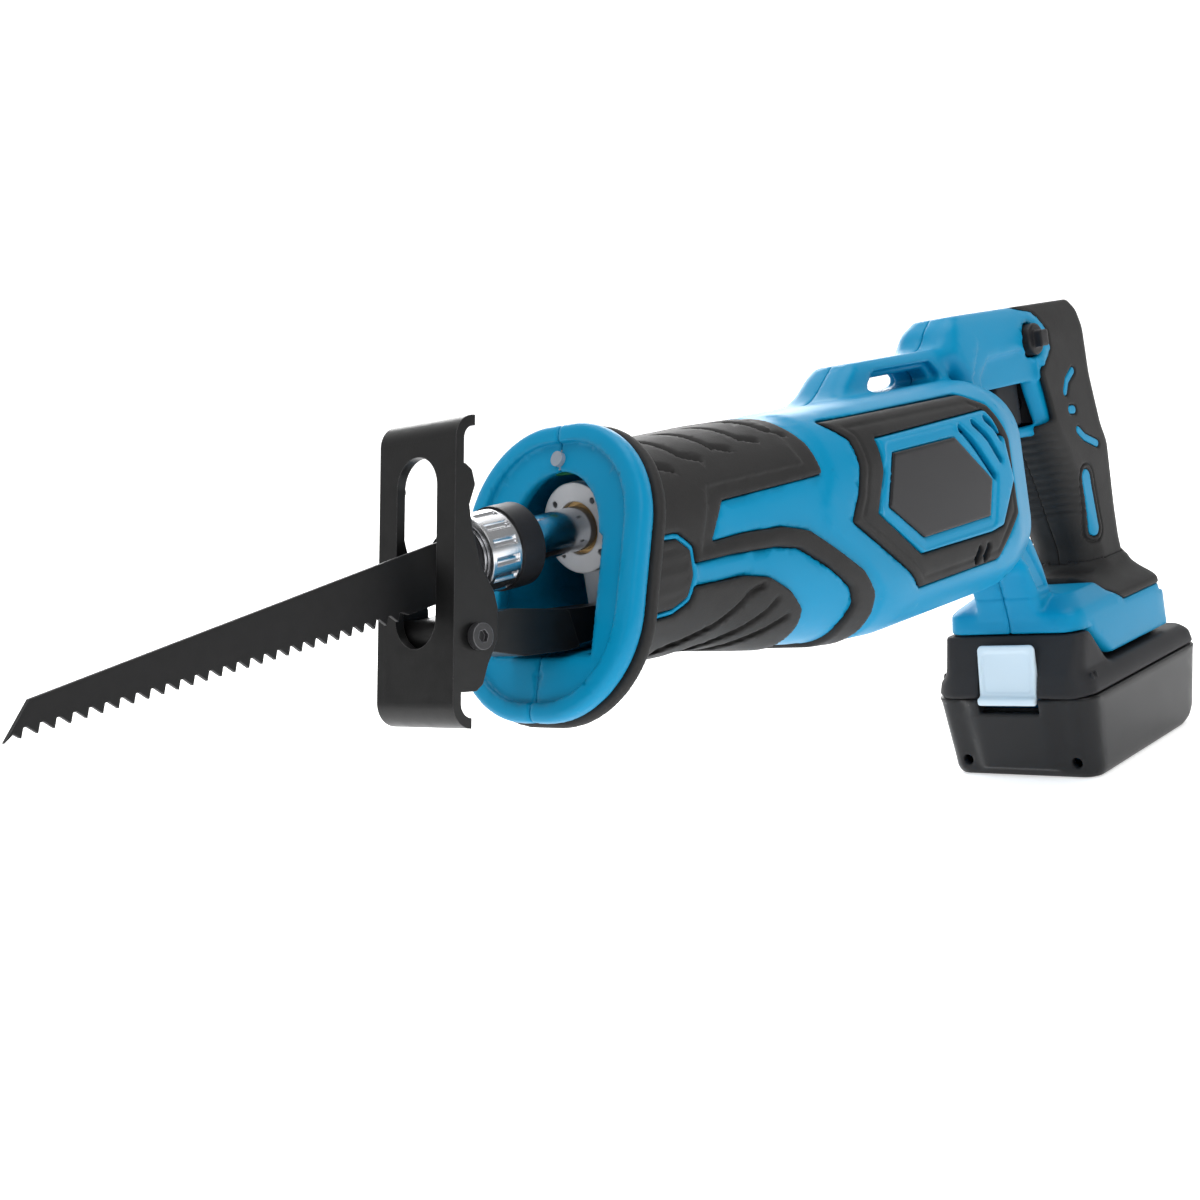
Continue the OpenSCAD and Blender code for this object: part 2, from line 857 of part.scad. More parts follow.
module shoe_arm() {
    color([0.09, 0.09, 0.10]) difference() {
        union() {
            across(-9, 9) polygon([
                [pivot_x + 3, 128], [pivot_x + 4, 136.5], [-340, 134.6], [-318, 130.6], [-296, 128],
                [-296, 125.8], [-266, 125.8], [-266, 119.5], [-325, 119.5], [-345, 122]
            ]);
            across(-12.6, 12.6) polygon([
                [pivot_x + 4, 127.5], [pivot_x + 4, 136.9], [-347, 136.6], [-326, 132], [-324, 131],
                [-322, 119.5], [-327, 119.5], [-345, 122]
            ]);
            translate([pivot_x, 13, pivot_z]) rotate([90, 0, 0]) cylinder(r = 5.3, h = 26);
        }
        translate([pivot_x, 0, pivot_z]) rotate([90, 0, 0]) cylinder(r = pivot_r + 0.05, h = 60, center = true);
    }
}

module shoe_pivot() {
    color(steel) translate([pivot_x, 0, pivot_z]) rotate([90, 0, 0]) {
        cylinder(r = pivot_r, h = 33.4, center = true);
        difference() {
            translate([0, 0, 16.7]) cylinder(r = 3.8, h = 2.4);
            translate([0, 0, 17.6]) cylinder(r = 1.9, h = 3, $fn = 6);
        }
        translate([0, 0, -19.3]) cylinder(r = 4.2, h = 2.6, $fn = 6);
    }
}

module arm_screw() {
    color(steel) translate([-293, -12, 133]) rotate([0, 90, 0]) {
        translate([0, 0, -4]) cylinder(r = 3.6, h = 4);
        cylinder(r = 1.95, h = 12);
    }
}

// ---------- motor ----------

module motor_can() {
    color([0.55, 0.56, 0.58]) union() {
        tube_x(-150, -92, motor_z, motor_r, 28);
        tube_x(-152, -150, motor_z, motor_r, 12);
    }
}

module motor_magnets() {
    color([0.20, 0.20, 0.21]) difference() {
        tube_x(-146, -96, motor_z, 28, 24);
        for (s = [-1, 1]) translate([-148, -5 + s * 24, motor_z - 30]) cube([54, 10, 60]);
    }
}

module motor_end_bell() {
    color([0.13, 0.13, 0.14]) difference() {
        union() {
            bar_x(-92, -84, motor_z, motor_r);
            bar_x(-84, -77, motor_z, 11);
        }
        bar_x(-93, -86, motor_z, 22);
        bar_x(-87, -76, motor_z, 8);
        for (s = [-1, 1]) translate([-92.5, s * 17 - 4, motor_z - 3]) cube([7, 8, 6]);
    }
}

module carbon_brushes() {
    color([0.25, 0.25, 0.25]) for (s = [-1, 1])
        translate([-92.2, s * 14.6 - 5.4, motor_z - 2.8]) cube([6, 10.8, 5.6]);
}

module front_bearing() {
    color(steel) tube_x(-195.4, -187.4, motor_z, 11, 3.5);
}

module rear_bearing() {
    color(steel) tube_x(-83.8, -77, motor_z, 8, 2.54);
}

module rotor_shaft() {
    color(steel) {
        bar_x(-204, -196, motor_z, 2.5);
        bar_x(-196, -85, motor_z, 3.46);
        bar_x(-85, -76.5, motor_z, 2.5);
    }
}

module rotor_core() {
    color([0.42, 0.42, 0.44]) difference() {
        tube_x(-142, -100, motor_z, 23, 3.46);
        for (a = [0 : 30 : 330]) translate([-143, 0, motor_z]) rotate([a, 0, 0]) {
            translate([0, -2.5, 12]) cube([44, 5, 8.5]);
            translate([0, -1, 19]) cube([44, 2, 5]);
        }
    }
}

module rotor_windings() {
    color([0.72, 0.38, 0.18]) for (a = [0 : 30 : 330]) translate([-144, 0, motor_z]) rotate([a, 0, 0])
        translate([0, -2.1, 12.4]) cube([46, 4.2, 7.6]);
}

module commutator() {
    color([0.75, 0.45, 0.25]) difference() {
        tube_x(-95.5, -86.4, motor_z, 9, 3.46);
        for (a = [0 : 30 : 330]) translate([-96, 0, motor_z]) rotate([a, 0, 0])
            translate([0, -0.3, 8]) cube([12, 0.6, 2]);
    }
}

module cooling_fan() {
    color([0.14, 0.14, 0.15]) union() {
        tube_x(-161, -159.5, motor_z, 26, 3.46);
        tube_x(-161, -154, motor_z, 7, 3.46);
        for (a = [0 : 30 : 330]) translate([-159.6, 0, motor_z]) rotate([a, 0, 0])
            translate([0, -0.7, 6.5]) cube([5.6, 1.4, 19]);
    }
}

module pinion() {
    color([0.62, 0.63, 0.65]) translate([-204, 0, motor_z]) rotate([0, 90, 0]) difference() {
        union() {
            cylinder(r = 3.8, h = 7.6);
            for (i = [0 : pinion_teeth - 1]) rotate([0, 0, i * 360 / pinion_teeth])
                linear_extrude(7.6) polygon([[3, -1.15], [5, -0.8], [5.9, -0.45], [5.9, 0.45], [5, 0.8], [3, 1.15]]);
        }
        translate([0, 0, -1]) cylinder(r = 2.5, h = 10);
    }
}

// ---------- electrics and battery ----------

module terminal_block() {
    color([0.16, 0.16, 0.17]) union() {
        translate([2, -14, 62]) cube([30, 28, 1.4]);
        for (y = [-8, 0, 8]) translate([8, y - 0.5, 56.6]) cube([18, 1, 5.6]);
    }
}

module battery_upper() {
    front = -half_l;
    color(black) difference() {
        union() {
            hull() {
                plan([battery_seam + 0.2, front, half_l, battery_w / 2, 8]);
                plan([42, front + 1, half_l - 1, battery_w / 2 - 1, 8]);
                plan([45, front + 2, half_l - 3, battery_w / 2 - 4, 8]);
            }
            hull() {
                plan([battery_seam + 0.2, front - 2.5, -30, 24, 8]);
                plan([45, front + 1, -30, 33, 8]);
                plan([61.6, -45, -38.4, 33, 2]);
                plan([61.6, -48, -40, 20, 4]);
                plan([45, front + 1, -21.8, 33, 4]);
            }
            translate([-42, -24, 44]) cube([80, 48, 12]);
            translate([-42, -27.4, 54.7]) cube([80, 54.8, 6.9]);
        }
        hull() {
            plan([battery_seam - 1, -50, half_l - 3, battery_w / 2 - 3, 5]);
            plan([41, -50, half_l - 5, battery_w / 2 - 6, 5]);
        }
        translate([-38, -21, 40]) cube([72, 42, 16]);
        for (y = [-8, 0, 8]) translate([-45, y - 1.2, 55.5]) cube([84, 2.4, 8]);
        translate([-70, -14.2, 30]) cube([17, 28.4, 29]);
        translate([-53.2, -6, 38]) cube([18, 12, 12]);
    }
}

module battery_lower() {
    color(black) difference() {
        hull() {
            plan([0, -half_l + 5, half_l - 16, battery_w / 2 - 3.8, 6]);
            plan([3, -half_l + 3.4, half_l - 9, battery_w / 2 - 2.4, 7]);
            plan([7, -half_l + 3.2, half_l - 5, battery_w / 2 - 2.2, 7]);
            plan([battery_seam - slit, -half_l, half_l, battery_w / 2, 8]);
            plan([battery_seam - slit, -half_l - 2.5, 0, 24, 8]);
            plan([5, -half_l + 1, 0, 22, 8]);
        }
        hull() {
            plan([2.2, -half_l + 8, half_l - 16, battery_w / 2 - 7, 4]);
            plan([7, -half_l + 6.4, half_l - 8.5, battery_w / 2 - 5.2, 5]);
            plan([battery_seam + 1, -half_l + 3.4, half_l - 3, battery_w / 2 - 3, 5]);
        }
        translate([-70, -14.2, 29.5]) cube([17, 28.4, 10]);
        for (y = [-26, 26]) translate([-70, y, 7]) rotate([0, 90, 0]) cylinder(r = 2.2, h = 20);
    }
}

module battery_cells() {
    color([0.10, 0.42, 0.62]) for (i = [0 : 4], k = [0 : 1])
        translate([-38 + i * 18.9, 0, 12.2 + k * 18.5]) rotate([90, 0, 0])
            cylinder(r = 9.2, h = 60, center = true);
}

module battery_board() {
    color([0.10, 0.35, 0.18]) union() {
        translate([-34, -19, 46]) cube([64, 38, 1.6]);
        for (y = [-8, 0, 8]) translate([14, y + 0.7, 47.6]) cube([12, 0.4, 7]);
    }
}

module latch_button() {
    color([0.80, 0.87, 0.92]) union() {
        hull() {
            translate([-57.6, -13.6, 35]) cube([3.6, 27.2, 1]);
            translate([-54.4, -13.6, 57.6]) cube([1, 27.2, 1]);
        }
        translate([-60, -13.6, 33]) cube([2.8, 27.2, 3.4]);
        translate([-54.6, -5, 44]) cube([10, 10, 5]);
    }
}

module latch_spring() {
    color(steel) translate([-48, 0, 38.2]) coil(3, 0.7, 5.6);
}

// ---------- parts ----------

left_shell();
right_shell();
nose_sleeve();
side_pads();
side_bands();
left_motor_cover();
right_motor_cover();
nameplates();
left_grip();
right_grip();
grip_inlays();
base_cap();
housing_screws();
lock_button();
trigger();
trigger_spring();
switch_body();
led_lens();
led_board();
gearbox_housing();
gearbox_cover();
nose_ring();
front_bush();
rear_bush();
gear_axle();
gear_bush();
drive_gear();
crank_pin();
plunger();
plunger_seal();
clamp_body();
clamp_pin();
clamp_fins();
clamp_collar();
clamp_cap();
blade();
shoe_plate();
shoe_arm();
shoe_pivot();
arm_screw();
motor_can();
motor_magnets();
motor_end_bell();
carbon_brushes();
front_bearing();
rear_bearing();
rotor_shaft();
rotor_core();
rotor_windings();
commutator();
cooling_fan();
pinion();
terminal_block();
battery_upper();
battery_lower();
battery_cells();
battery_board();
latch_button();
latch_spring();
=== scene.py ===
# %% [markdown]
# # A cordless reciprocating saw
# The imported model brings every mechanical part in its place: shafts, gears, blade, shoe, screws.
# What the hand and the eye meet is moulded, though: a blue shell in two halves, soft rubber over
# it, and a battery case. Moulded parts have no sharp edge and few flat faces, so this lesson
# makes them again as smooth surfaces around the same frame, and gives each part its finish.

# %% Load the frame
import json
import math

import bmesh
import bpy
import numpy as np
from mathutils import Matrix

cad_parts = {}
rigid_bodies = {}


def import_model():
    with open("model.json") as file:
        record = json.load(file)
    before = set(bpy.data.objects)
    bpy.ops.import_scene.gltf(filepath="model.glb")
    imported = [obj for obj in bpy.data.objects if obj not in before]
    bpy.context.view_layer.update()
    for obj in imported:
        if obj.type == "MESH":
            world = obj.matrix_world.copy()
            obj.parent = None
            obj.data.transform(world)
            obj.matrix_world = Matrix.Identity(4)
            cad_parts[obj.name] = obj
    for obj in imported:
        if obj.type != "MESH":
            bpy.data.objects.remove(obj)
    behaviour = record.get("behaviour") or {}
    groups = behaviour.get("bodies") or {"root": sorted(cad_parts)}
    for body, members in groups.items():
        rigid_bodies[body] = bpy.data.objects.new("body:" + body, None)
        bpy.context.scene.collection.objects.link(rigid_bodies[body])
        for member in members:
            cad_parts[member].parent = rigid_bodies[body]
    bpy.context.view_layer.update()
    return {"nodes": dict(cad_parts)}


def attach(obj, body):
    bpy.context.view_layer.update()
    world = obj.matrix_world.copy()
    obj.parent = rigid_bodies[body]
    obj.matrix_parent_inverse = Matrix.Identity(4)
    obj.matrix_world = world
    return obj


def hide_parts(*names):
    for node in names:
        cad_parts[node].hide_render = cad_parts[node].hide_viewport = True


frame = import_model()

import openvdb
from mathutils import Matrix, Vector

MM = 0.001
nodes = frame["nodes"]

# %% [markdown]
# ## Shapes as distance fields
# A moulded shape is easy to say as a distance: a number at every point of space that is
# negative inside, positive outside and zero on the surface. Two shapes join by the smaller
# number and cut by the larger one, and a soft minimum leaves the fillet that a mould has.
# Drawing such a shape by hand would need hundreds of faces kept in line, so the field is
# sampled on a grid of points and its zero surface is drawn as a mesh.

# %% Helpers for distances
def soft_min(a, b, k):
    """The smaller of two distances, with a fillet about k across where they meet."""
    h = np.maximum(k - np.abs(a - b), 0) / k
    return np.minimum(a, b) - h * h * k * 0.25


def soft_max(a, b, k):
    return -soft_min(-a, -b, k)


def rounded(u, v, half_u, half_v, r):
    """Distance to a rectangle with rounded corners."""
    p, q = np.abs(u) - half_u + r, np.abs(v) - half_v + r
    return np.hypot(np.maximum(p, 0), np.maximum(q, 0)) + np.minimum(np.maximum(p, q), 0) - r


def brick(g, low, high):
    """Distance to a plain box between two corners."""
    parts = [np.maximum(l - v, v - h) for v, l, h in zip(g, low, high)]
    return np.maximum(np.maximum(parts[0], parts[1]), parts[2])


def outline(g, points, soften=1):
    """Distance to a closed outline drawn in x and z, the same all the way across the tool."""
    x, z = g[0][:, 0, :], g[2][0, :, :]
    x, z = np.broadcast_arrays(x, z)
    near, inside = np.full(x.shape, 1e9), np.zeros(x.shape, bool)
    for (ax, az), (bx, bz) in zip(points, points[1:] + points[:1]):
        ex, ez = bx - ax, bz - az
        t = np.clip(((x - ax) * ex + (z - az) * ez) / (ex * ex + ez * ez), 0, 1)
        near = np.minimum(near, np.hypot(x - ax - t * ex, z - az - t * ez))
        if az != bz:
            crosses = (az > z) != (bz > z)
            inside ^= crosses & (x < ax + (z - az) * ex / ez)
    d = np.where(inside, -near, near)
    for _ in range(soften):
        d = blur(d)
    return d[:, None, :].astype(np.float32)


def blur(d):
    """One pass of a small average, which rounds an outline's corners."""
    p = np.pad(d, 1, mode="edge")
    return (p[:-2, 1:-1] + p[2:, 1:-1] + p[1:-1, :-2] + p[1:-1, 2:] + 2 * d) / 6


def eased(stations, at, reach):
    """The numbers of a list of stations at the places in at, with the kinks between them eased."""
    s = np.array(stations, float)
    t = np.arange(s[:, 0].min() - 40, s[:, 0].max() + 40, 0.5)
    n = max(1, int(reach / 0.5)) | 1
    out = []
    for k in range(1, s.shape[1]):
        v = np.interp(t, s[:, 0], s[:, k])
        v = np.convolve(np.pad(v, n // 2, mode="edge"), np.ones(n) / n, mode="valid")
        out.append(np.interp(at, t, v).astype(np.float32))
    return out


def lying(g, stations, reach):
    """Distance to a shape given by stations up z: z, front x, rear x, half width, corner radius."""
    x, y, z = g
    x0, x1, hw, r = eased(stations, z, reach)
    d = rounded(x - (x0 + x1) / 2, y, (x1 - x0) / 2, hw, np.minimum(r, hw - 0.5))
    low, high = min(s[0] for s in stations), max(s[0] for s in stations)
    return soft_max(d, np.maximum(low - z, z - high), 1.6)


def rod(g, centre, r, y0=-100, y1=100):
    """Distance to a round bar across the tool."""
    d = np.hypot(g[0] - centre[0], g[2] - centre[1]) - r
    return np.maximum(d, np.maximum(y0 - g[1], g[1] - y1))


# %% [markdown]
# ## From a field to a mesh
# The grid's points are a fraction of a millimetre apart, fine enough for a bevel to show. The
# surface goes through a volume grid, which joins points into quads and thins them where the
# surface is flat.

# %% Mesh a field
def lattice(low, high, step):
    """Open arrays of x, y and z in millimetres, which stretch against each other."""
    x, y, z = (np.arange(a, b + step, step, dtype=np.float32) for a, b in zip(low, high))
    return x[:, None, None], y[None, :, None], z[None, None, :]


def new_object(name, points, faces):
    mesh = bpy.data.meshes.new(name)
    mesh.from_pydata(points, [], faces)
    mesh.validate()
    piece = bpy.data.objects.new(name, mesh)
    bpy.context.scene.collection.objects.link(piece)
    return piece


def face_outwards(piece):
    """Turns a closed mesh the right way if its volume comes out negative."""
    bm = bmesh.new()
    bm.from_mesh(piece.data)
    if bm.calc_volume(signed=True) < 0:
        bmesh.ops.reverse_faces(bm, faces=bm.faces)
    bm.to_mesh(piece.data)
    bm.free()


def smooth(piece, angle):
    """Shades a piece smooth, but for edges that turn by more than the angle in degrees."""
    piece.data.shade_smooth()
    piece.data.set_sharp_from_angle(angle=math.radians(angle))


ALL_SMOOTH = 180


def from_field(name, g, d, thin):
    """Draws the zero surface of a distance field as a piece. A higher thin leaves fewer faces."""
    step = float(g[0][1, 0, 0] - g[0][0, 0, 0])
    d = np.ascontiguousarray(np.broadcast_to(d, np.broadcast(*g).shape), np.float32)
    far = 3 * step
    volume = openvdb.FloatGrid(far)
    volume.copyFromArray(np.pad(np.clip(d, -far, far), 1, constant_values=far))
    points, triangles, quads = volume.convertToPolygons(0.0, thin)
    origin = np.array([g[0].min(), g[1].min(), g[2].min()]) - step
    points = (points * step + origin) * MM
    piece = new_object(name, points.tolist(), triangles.tolist() + quads.tolist())
    face_outwards(piece)
    smooth(piece, ALL_SMOOTH)
    print(name, len(piece.data.polygons), "faces")
    return piece


def mirrored(piece, name):
    """A copy on the tool's other side, turned so that its faces still point outwards."""
    copy = piece.copy()
    copy.data = piece.data.copy()
    copy.name = name
    copy.data.transform(Matrix.Scale(-1, 4, (0, 1, 0)))
    copy.data.flip_normals()
    bpy.context.scene.collection.objects.link(copy)
    return copy


def joined(name, pieces):
    """Several meshes as one piece."""
    bm = bmesh.new()
    for p in pieces:
        bm.from_mesh(p.data)
    mesh = bpy.data.meshes.new(name)
    bm.to_mesh(mesh)
    bm.free()
    out = bpy.data.objects.new(name, mesh)
    bpy.context.scene.collection.objects.link(out)
    for p in pieces:
        bpy.data.objects.remove(p)
    smooth(out, ALL_SMOOTH)
    return out


def on_both_sides(name, piece):
    """A piece and its mirror image as one mesh."""
    return joined(name, [piece, mirrored(piece, name + "_right")])


# %% [markdown]
# ## The barrel
# The nose and the motor housing are one long rounded body. Its sections are the same ones that
# the frame was built from: at each x a half width, a lowest and a highest z, and a corner
# radius. Easing the numbers between sections takes out the kinks that straight lofts leave.

# %% Sections of the body
BARREL = [
    (-336, 34, 112, 174, 30), (-300, 33.5, 109.5, 176, 28), (-268, 34.5, 107, 176.5, 27),
    (-244, 36.5, 101, 176.5, 28), (-218, 38.5, 95.5, 176.5, 28), (-200, 39.3, 93, 176.5, 27),
    (-184, 39.5, 91.5, 176.5, 24), (-98, 39.5, 91, 176, 24), (-78, 34, 94, 172, 23),
    (-68, 27, 101, 165, 20),
]
GRIP = [
    (78, 4, 42, 17, 12), (90, 4, 41.5, 16, 12), (104, -2, 41, 16, 12), (120, -8, 40.5, 16.5, 12),
    (134, -15, 40, 17, 12), (143, -20, 35, 17, 11), (166, -29, 30.5, 16, 9),
    (187, -29, 31, 15, 8), (196, -30, 29, 13, 6), (200.3, -30, 25, 10.5, 5),
]
RUBBER, WALL = 3.4, 2.6
REAR = -68
FLANGE_AT, FLANGE_LEAN, FLANGE_THICK = (-319.5, 143.0), math.radians(22), 7.0


def at_flange(g):
    """Depth behind the flange's front face, distance across it and height up along it."""
    dx, dz = g[0] - FLANGE_AT[0], g[2] - FLANGE_AT[1]
    c, s = math.cos(FLANGE_LEAN), math.sin(FLANGE_LEAN)
    return dx * c - dz * s, g[1], dx * s + dz * c


def barrel(g):
    x, y, z = g
    hw, low, high, r = eased(BARREL, x, 8)
    d = rounded(y, z - (low + high) / 2, hw, (high - low) / 2, r)
    d = soft_max(d, x - REAR, 10)
    return np.maximum(d, 1.0 - at_flange(g)[0])


# %% [markdown]
# ## Where the rubber lies
# The nose is gripped by the second hand, so it wears a soft sleeve. Seen from the side the
# sleeve leaves a window and a curved band of the blue body open. The same outlines cut the
# groove in the shell and shape the rubber, so the two always fit.

# %% Outlines seen from the side
SLEEVE = [
    (-345, 60), (-345, 200), (-226, 200), (-222.5, 173), (-220, 165), (-220, 154.6),
    (-270.4, 154), (-278.4, 142.3), (-262, 142.4), (-244, 141.1), (-232, 137.6), (-221, 130),
    (-207, 119.6), (-200.4, 110.5), (-199, 103), (-199, 60),
]
BLUE_BAND = [
    (-300, 137.8), (-270.6, 137), (-248.5, 135.4), (-238, 133), (-225.7, 125.1),
    (-213.2, 115), (-210.2, 109), (-212, 102), (-212, 60), (-233, 60), (-235.3, 107.2),
    (-237, 112.8), (-244.6, 120.4), (-254, 126.4), (-265.2, 129.1), (-300, 130.8),
]
SIDE_PAD = [
    (-304.5, 145.4), (-302.6, 146.6), (-294.5, 146.2), (-289.3, 142), (-289.5, 134),
    (-292.3, 127.6), (-298.3, 125.4), (-309.5, 125.6), (-311.8, 128),
]
PAD_RING = 1.9
SHOULDER = [
    (-345, 200), (-214, 200), (-214.5, 165), (-216, 154), (-222.5, 143.8), (-222, 137),
    (-203, 119.5), (-195, 109.5), (-196, 60), (-345, 60),
]
COVER_X = -154


def about_cover(points):
    return [(x + COVER_X, z) for x, z in points]


COVER = about_cover([
    (-40, 137), (-33.5, 150), (-33, 162), (43, 163), (51, 151), (54.5, 134.5), (42, 118.5),
    (33, 117.5), (-17, 118.5),
])
BAND = about_cover([
    (-52, 171), (-45, 163.6), (-45.5, 154.5), (-49, 144.7), (-54.6, 136.4), (-24.6, 113.3),
    (-18.5, 106.7), (38, 106.3), (43, 111), (55.5, 121), (55.5, 150), (47.6, 164.7),
    (36.5, 170.2),
])
PLATE = about_cover([(-27, 156), (15, 156), (38, 137), (33, 123.5), (-14.5, 123.7), (-34, 138)])


def sleeve_area(g):
    d = np.maximum(outline(g, SLEEVE), -outline(g, BLUE_BAND))
    return np.maximum(d, PAD_RING - outline(g, SIDE_PAD))


# %% [markdown]
# ## The blue shell
# The shell is moulded in two halves that meet on the middle plane. Each half is the sum of the
# flange, the barrel, the carry loop, the handle's core, the column and the base, with a wall
# 2.6 mm thick. The right half is the left one mirrored, with a hole sunk for each screw's head,
# so the left side stays free of screws. The one at the base's front stays under the skin.

# %% Parts of the shell
def flange(g):
    depth, across, up = at_flange(g)
    rim = rounded(across, up, 38.5, 46.6, 34)
    body = soft_max(rim, np.abs(depth - FLANGE_THICK / 2) - FLANGE_THICK / 2, 3.2)
    dish = np.maximum(rounded(across, up, 31, 40.5, 27), depth - 2.2)
    return soft_max(body, -dish, 0.9)


def top_block(g):
    return lying(g, [(168, -80, 12, 16, 8), (172, -80, 12, 16, 8), (186, -91, 14, 15, 7),
                     (196, -84, 14, 13, 6), (200.4, -78, 12, 10, 6)], 3)


HEAD_STEPS = [
    ([(-66, 150), (-68, 174), (-60, 181), (-32, 182), (-21, 176), (-21, 150)], 13.2),
    ([(-74, 150), (-76, 174), (-66, 189), (-37, 190), (-30, 186), (-14, 172), (-14, 150)], 14.5),
]


def handle_head(g):
    """The block over the trigger, its sides stepped in twice around the opening."""
    d = top_block(g)
    for line, depth in HEAD_STEPS:
        d = soft_max(d, -np.maximum(outline(g, line), depth - np.abs(g[1])), 0.9)
    return d


LOOP_HOLE = [(-149, 166), (-147, 176.5), (-140, 182), (-101, 182), (-97, 178), (-97, 166)]


def carry_loop(g):
    d = lying(g, [(170, -176, -86, 12.5, 5), (174, -172, -86, 12, 5), (186, -156, -86, 11, 5),
                  (188.8, -152, -86, 9, 5)], 3)
    hole = outline(g, LOOP_HOLE)
    rim = np.maximum(hole - 2.2, 7.8 - np.abs(g[1]))
    return soft_max(soft_max(d, -rim, 0.8), -hole, 1.4)


COLUMN_PANEL = [(-46.5, 81.5), (-51, 92), (-58.5, 100), (-51, 101), (-44.5, 91), (-38.6, 81.5)]
FOOT_SEAM_Z, FOOT_SEAM_HALF, FOOT_SEAM_DEEP = 78.2, 0.45, 0.5


def column(g):
    d = lying(g, [(70, -48.2, -31, 15.5, 4), (90, -53, -37, 15.5, 5), (104, -70, -44, 15.5, 5),
                  (112, -75, -62, 15, 5), (118, -80, -66, 15, 5)], 5)
    panel = outline(g, COLUMN_PANEL)
    d = soft_max(d, -np.maximum(panel, 14.5 - np.abs(g[1])), 0.7)
    seam = np.abs(g[2] - FOOT_SEAM_Z) - FOOT_SEAM_HALF
    return np.maximum(d, -np.maximum(seam, -(d + FOOT_SEAM_DEEP)))


def base(g):
    table = lying(g, [(62, -48.5, 40.5, 32, 9), (71, -47.5, 39.5, 31, 8),
                      (77, -36.5, 36.5, 23, 8)], 3)
    skirts = lying(g, [(47.5, -22, 40.5, 32, 5), (61, -37, 40.5, 32, 5), (64, -37, 40.5, 32, 5)], 1)
    return soft_max(np.minimum(table, skirts), 0.15 - outline(g, CAP_SIDE), 0.8)


GRIP_OPEN = [
    (-70, 210), (-31, 210), (-31, 200.5), (-14, 197), (-7, 189), (-7.5, 180), (-18, 171),
    (-15.5, 160), (-14, 150), (-28, 145.2), (-70, 145.2),
]
BEAK = [(-48, 147.4), (-46, 149.6), (-15, 149.6), (-15, 144), (-34, 145)]


def grip_rubber(g, proud, deep):
    d = lying(g, GRIP, 5)
    skin = np.maximum(d - proud, -(d + deep))
    return soft_max(skin, -outline(g, GRIP_OPEN, 3), 1.2)


CAP_SIDE = [(-10.5, 95), (-10.5, 73.2), (-1, 67.4), (60, 67.4), (60, 95)]


def base_rubber(g, grow):
    """The cap on the base's rear: its lower edge runs down and back as one line."""
    return lying(g, [(58, -20, 40.9, 32.2, 8), (70.5, -20, 40.6, 31.2, 8),
                     (72.5, -18, 40.4, 28.9, 8), (79.5, -11, 40, 17.5, 8)], 2) - grow


# %% Cuts in the shell and the shell itself
LOCK_AT = (-21.7, 185.5)


def battery_bay(g):
    d = brick(g, (-60, -27.8, 54.3), (38, 27.8, 62))
    d = np.minimum(d, brick(g, (-60, -24.3, 40), (38, 24.3, 55)))
    d = np.minimum(d, brick(g, (-60, -27.8, 40), (38, 27.8, 49.5)))
    return np.minimum(d, brick(g, (-60, -40, 40), (-38, 40, 62)))


def trigger_port(g):
    return brick(g, (-60, -8.3, 148.5), (-6, 8.3, 172.5))


def nose_port(g):
    arch = np.maximum(np.hypot(g[1], g[2] - 152) - 19, g[0] + 299)
    return soft_min(arch, brick(g, (-360, -21, 117.5), (-299, 21, 151.5)), 2)


NOSE_STEP = 0.9


def shell_field(g):
    x, y, z = g
    body = barrel(g)
    lowered = NOSE_STEP * np.clip(-outline(g, SHOULDER, 2) / 2.0 + 0.5, 0, 1)
    lowered = lowered * np.clip(outline(g, SIDE_PAD) - 2.2, 0, 1)
    skin = body + lowered
    rubber_at = np.minimum(sleeve_area(g), outline(g, SIDE_PAD)) - 0.15
    skin = soft_max(skin, -np.maximum(rubber_at, -(body + RUBBER)), 0.5)
    skin = soft_max(skin, -np.maximum(outline(g, BAND) - 0.3, -(body + 2)), 0.8)
    depth, across, up = at_flange(g)
    eye = np.maximum(rounded(across, up - 34.6, 4.2, 5.4, 4.1), depth - 1.3)
    d = soft_max(soft_min(skin, flange(g), 1.5), -eye, 0.5)
    d = soft_min(d, handle_head(g), 4)
    d = soft_min(d, carry_loop(g), 5)
    d = soft_min(d, column(g), 4)
    core = lying(g, GRIP, 5)
    d = soft_min(d, core + 3.0, 2)
    d = soft_min(d, soft_max(outline(g, BEAK, 2), np.abs(y) - 10, 1.5), 1.5)
    d = soft_min(d, base(g), 3)
    d = soft_max(d, -grip_rubber(g, 0.35, 3.0), 0.6)
    hollow = body + np.where(x < -196, RUBBER + WALL, WALL)
    d = np.maximum(d, -hollow)
    hand = np.maximum(core + RUBBER + WALL, np.maximum(80 - z, z - 192))
    d = np.maximum(d, -hand)
    d = soft_max(d, -battery_bay(g), 0.8)
    d = soft_max(d, -trigger_port(g), 1.2)
    d = soft_max(d, -nose_port(g), 1.2)
    d = soft_max(d, -rod(g, LOCK_AT, 7.5), 1.2)
    return soft_max(d, y + 0.08, 0.9)


SCREWS = [
    (-180, 98, 27), (-96, 98, 27), (-180, 170, 25), (-96, 170, 25),
    (-84, 182, 11), (8, 140, 10.5), (22, 98, 9.5), (-43, 68, 22),
]
HOLE_R = 3.7
IN_SHELL, IN_GRIP = SCREWS[:7], SCREWS[5:7]


def screw_holes(g, d, screws):
    """Sinks a hole for each screw's head. Only the right half has them."""
    for sx, sz, seat in screws:
        d = soft_max(d, -rod(g, (sx, sz), HOLE_R, -60, -seat), 0.7)
    return d


def right_half(name, g, d, screws, thin):
    """The left half's field with the screw holes in it, as a mirrored piece."""
    drilled = from_field(name + "_drilled", g, screw_holes(g, d, screws), thin)
    right = mirrored(drilled, name + "_right")
    bpy.data.objects.remove(drilled)
    return right


STEP = 0.75

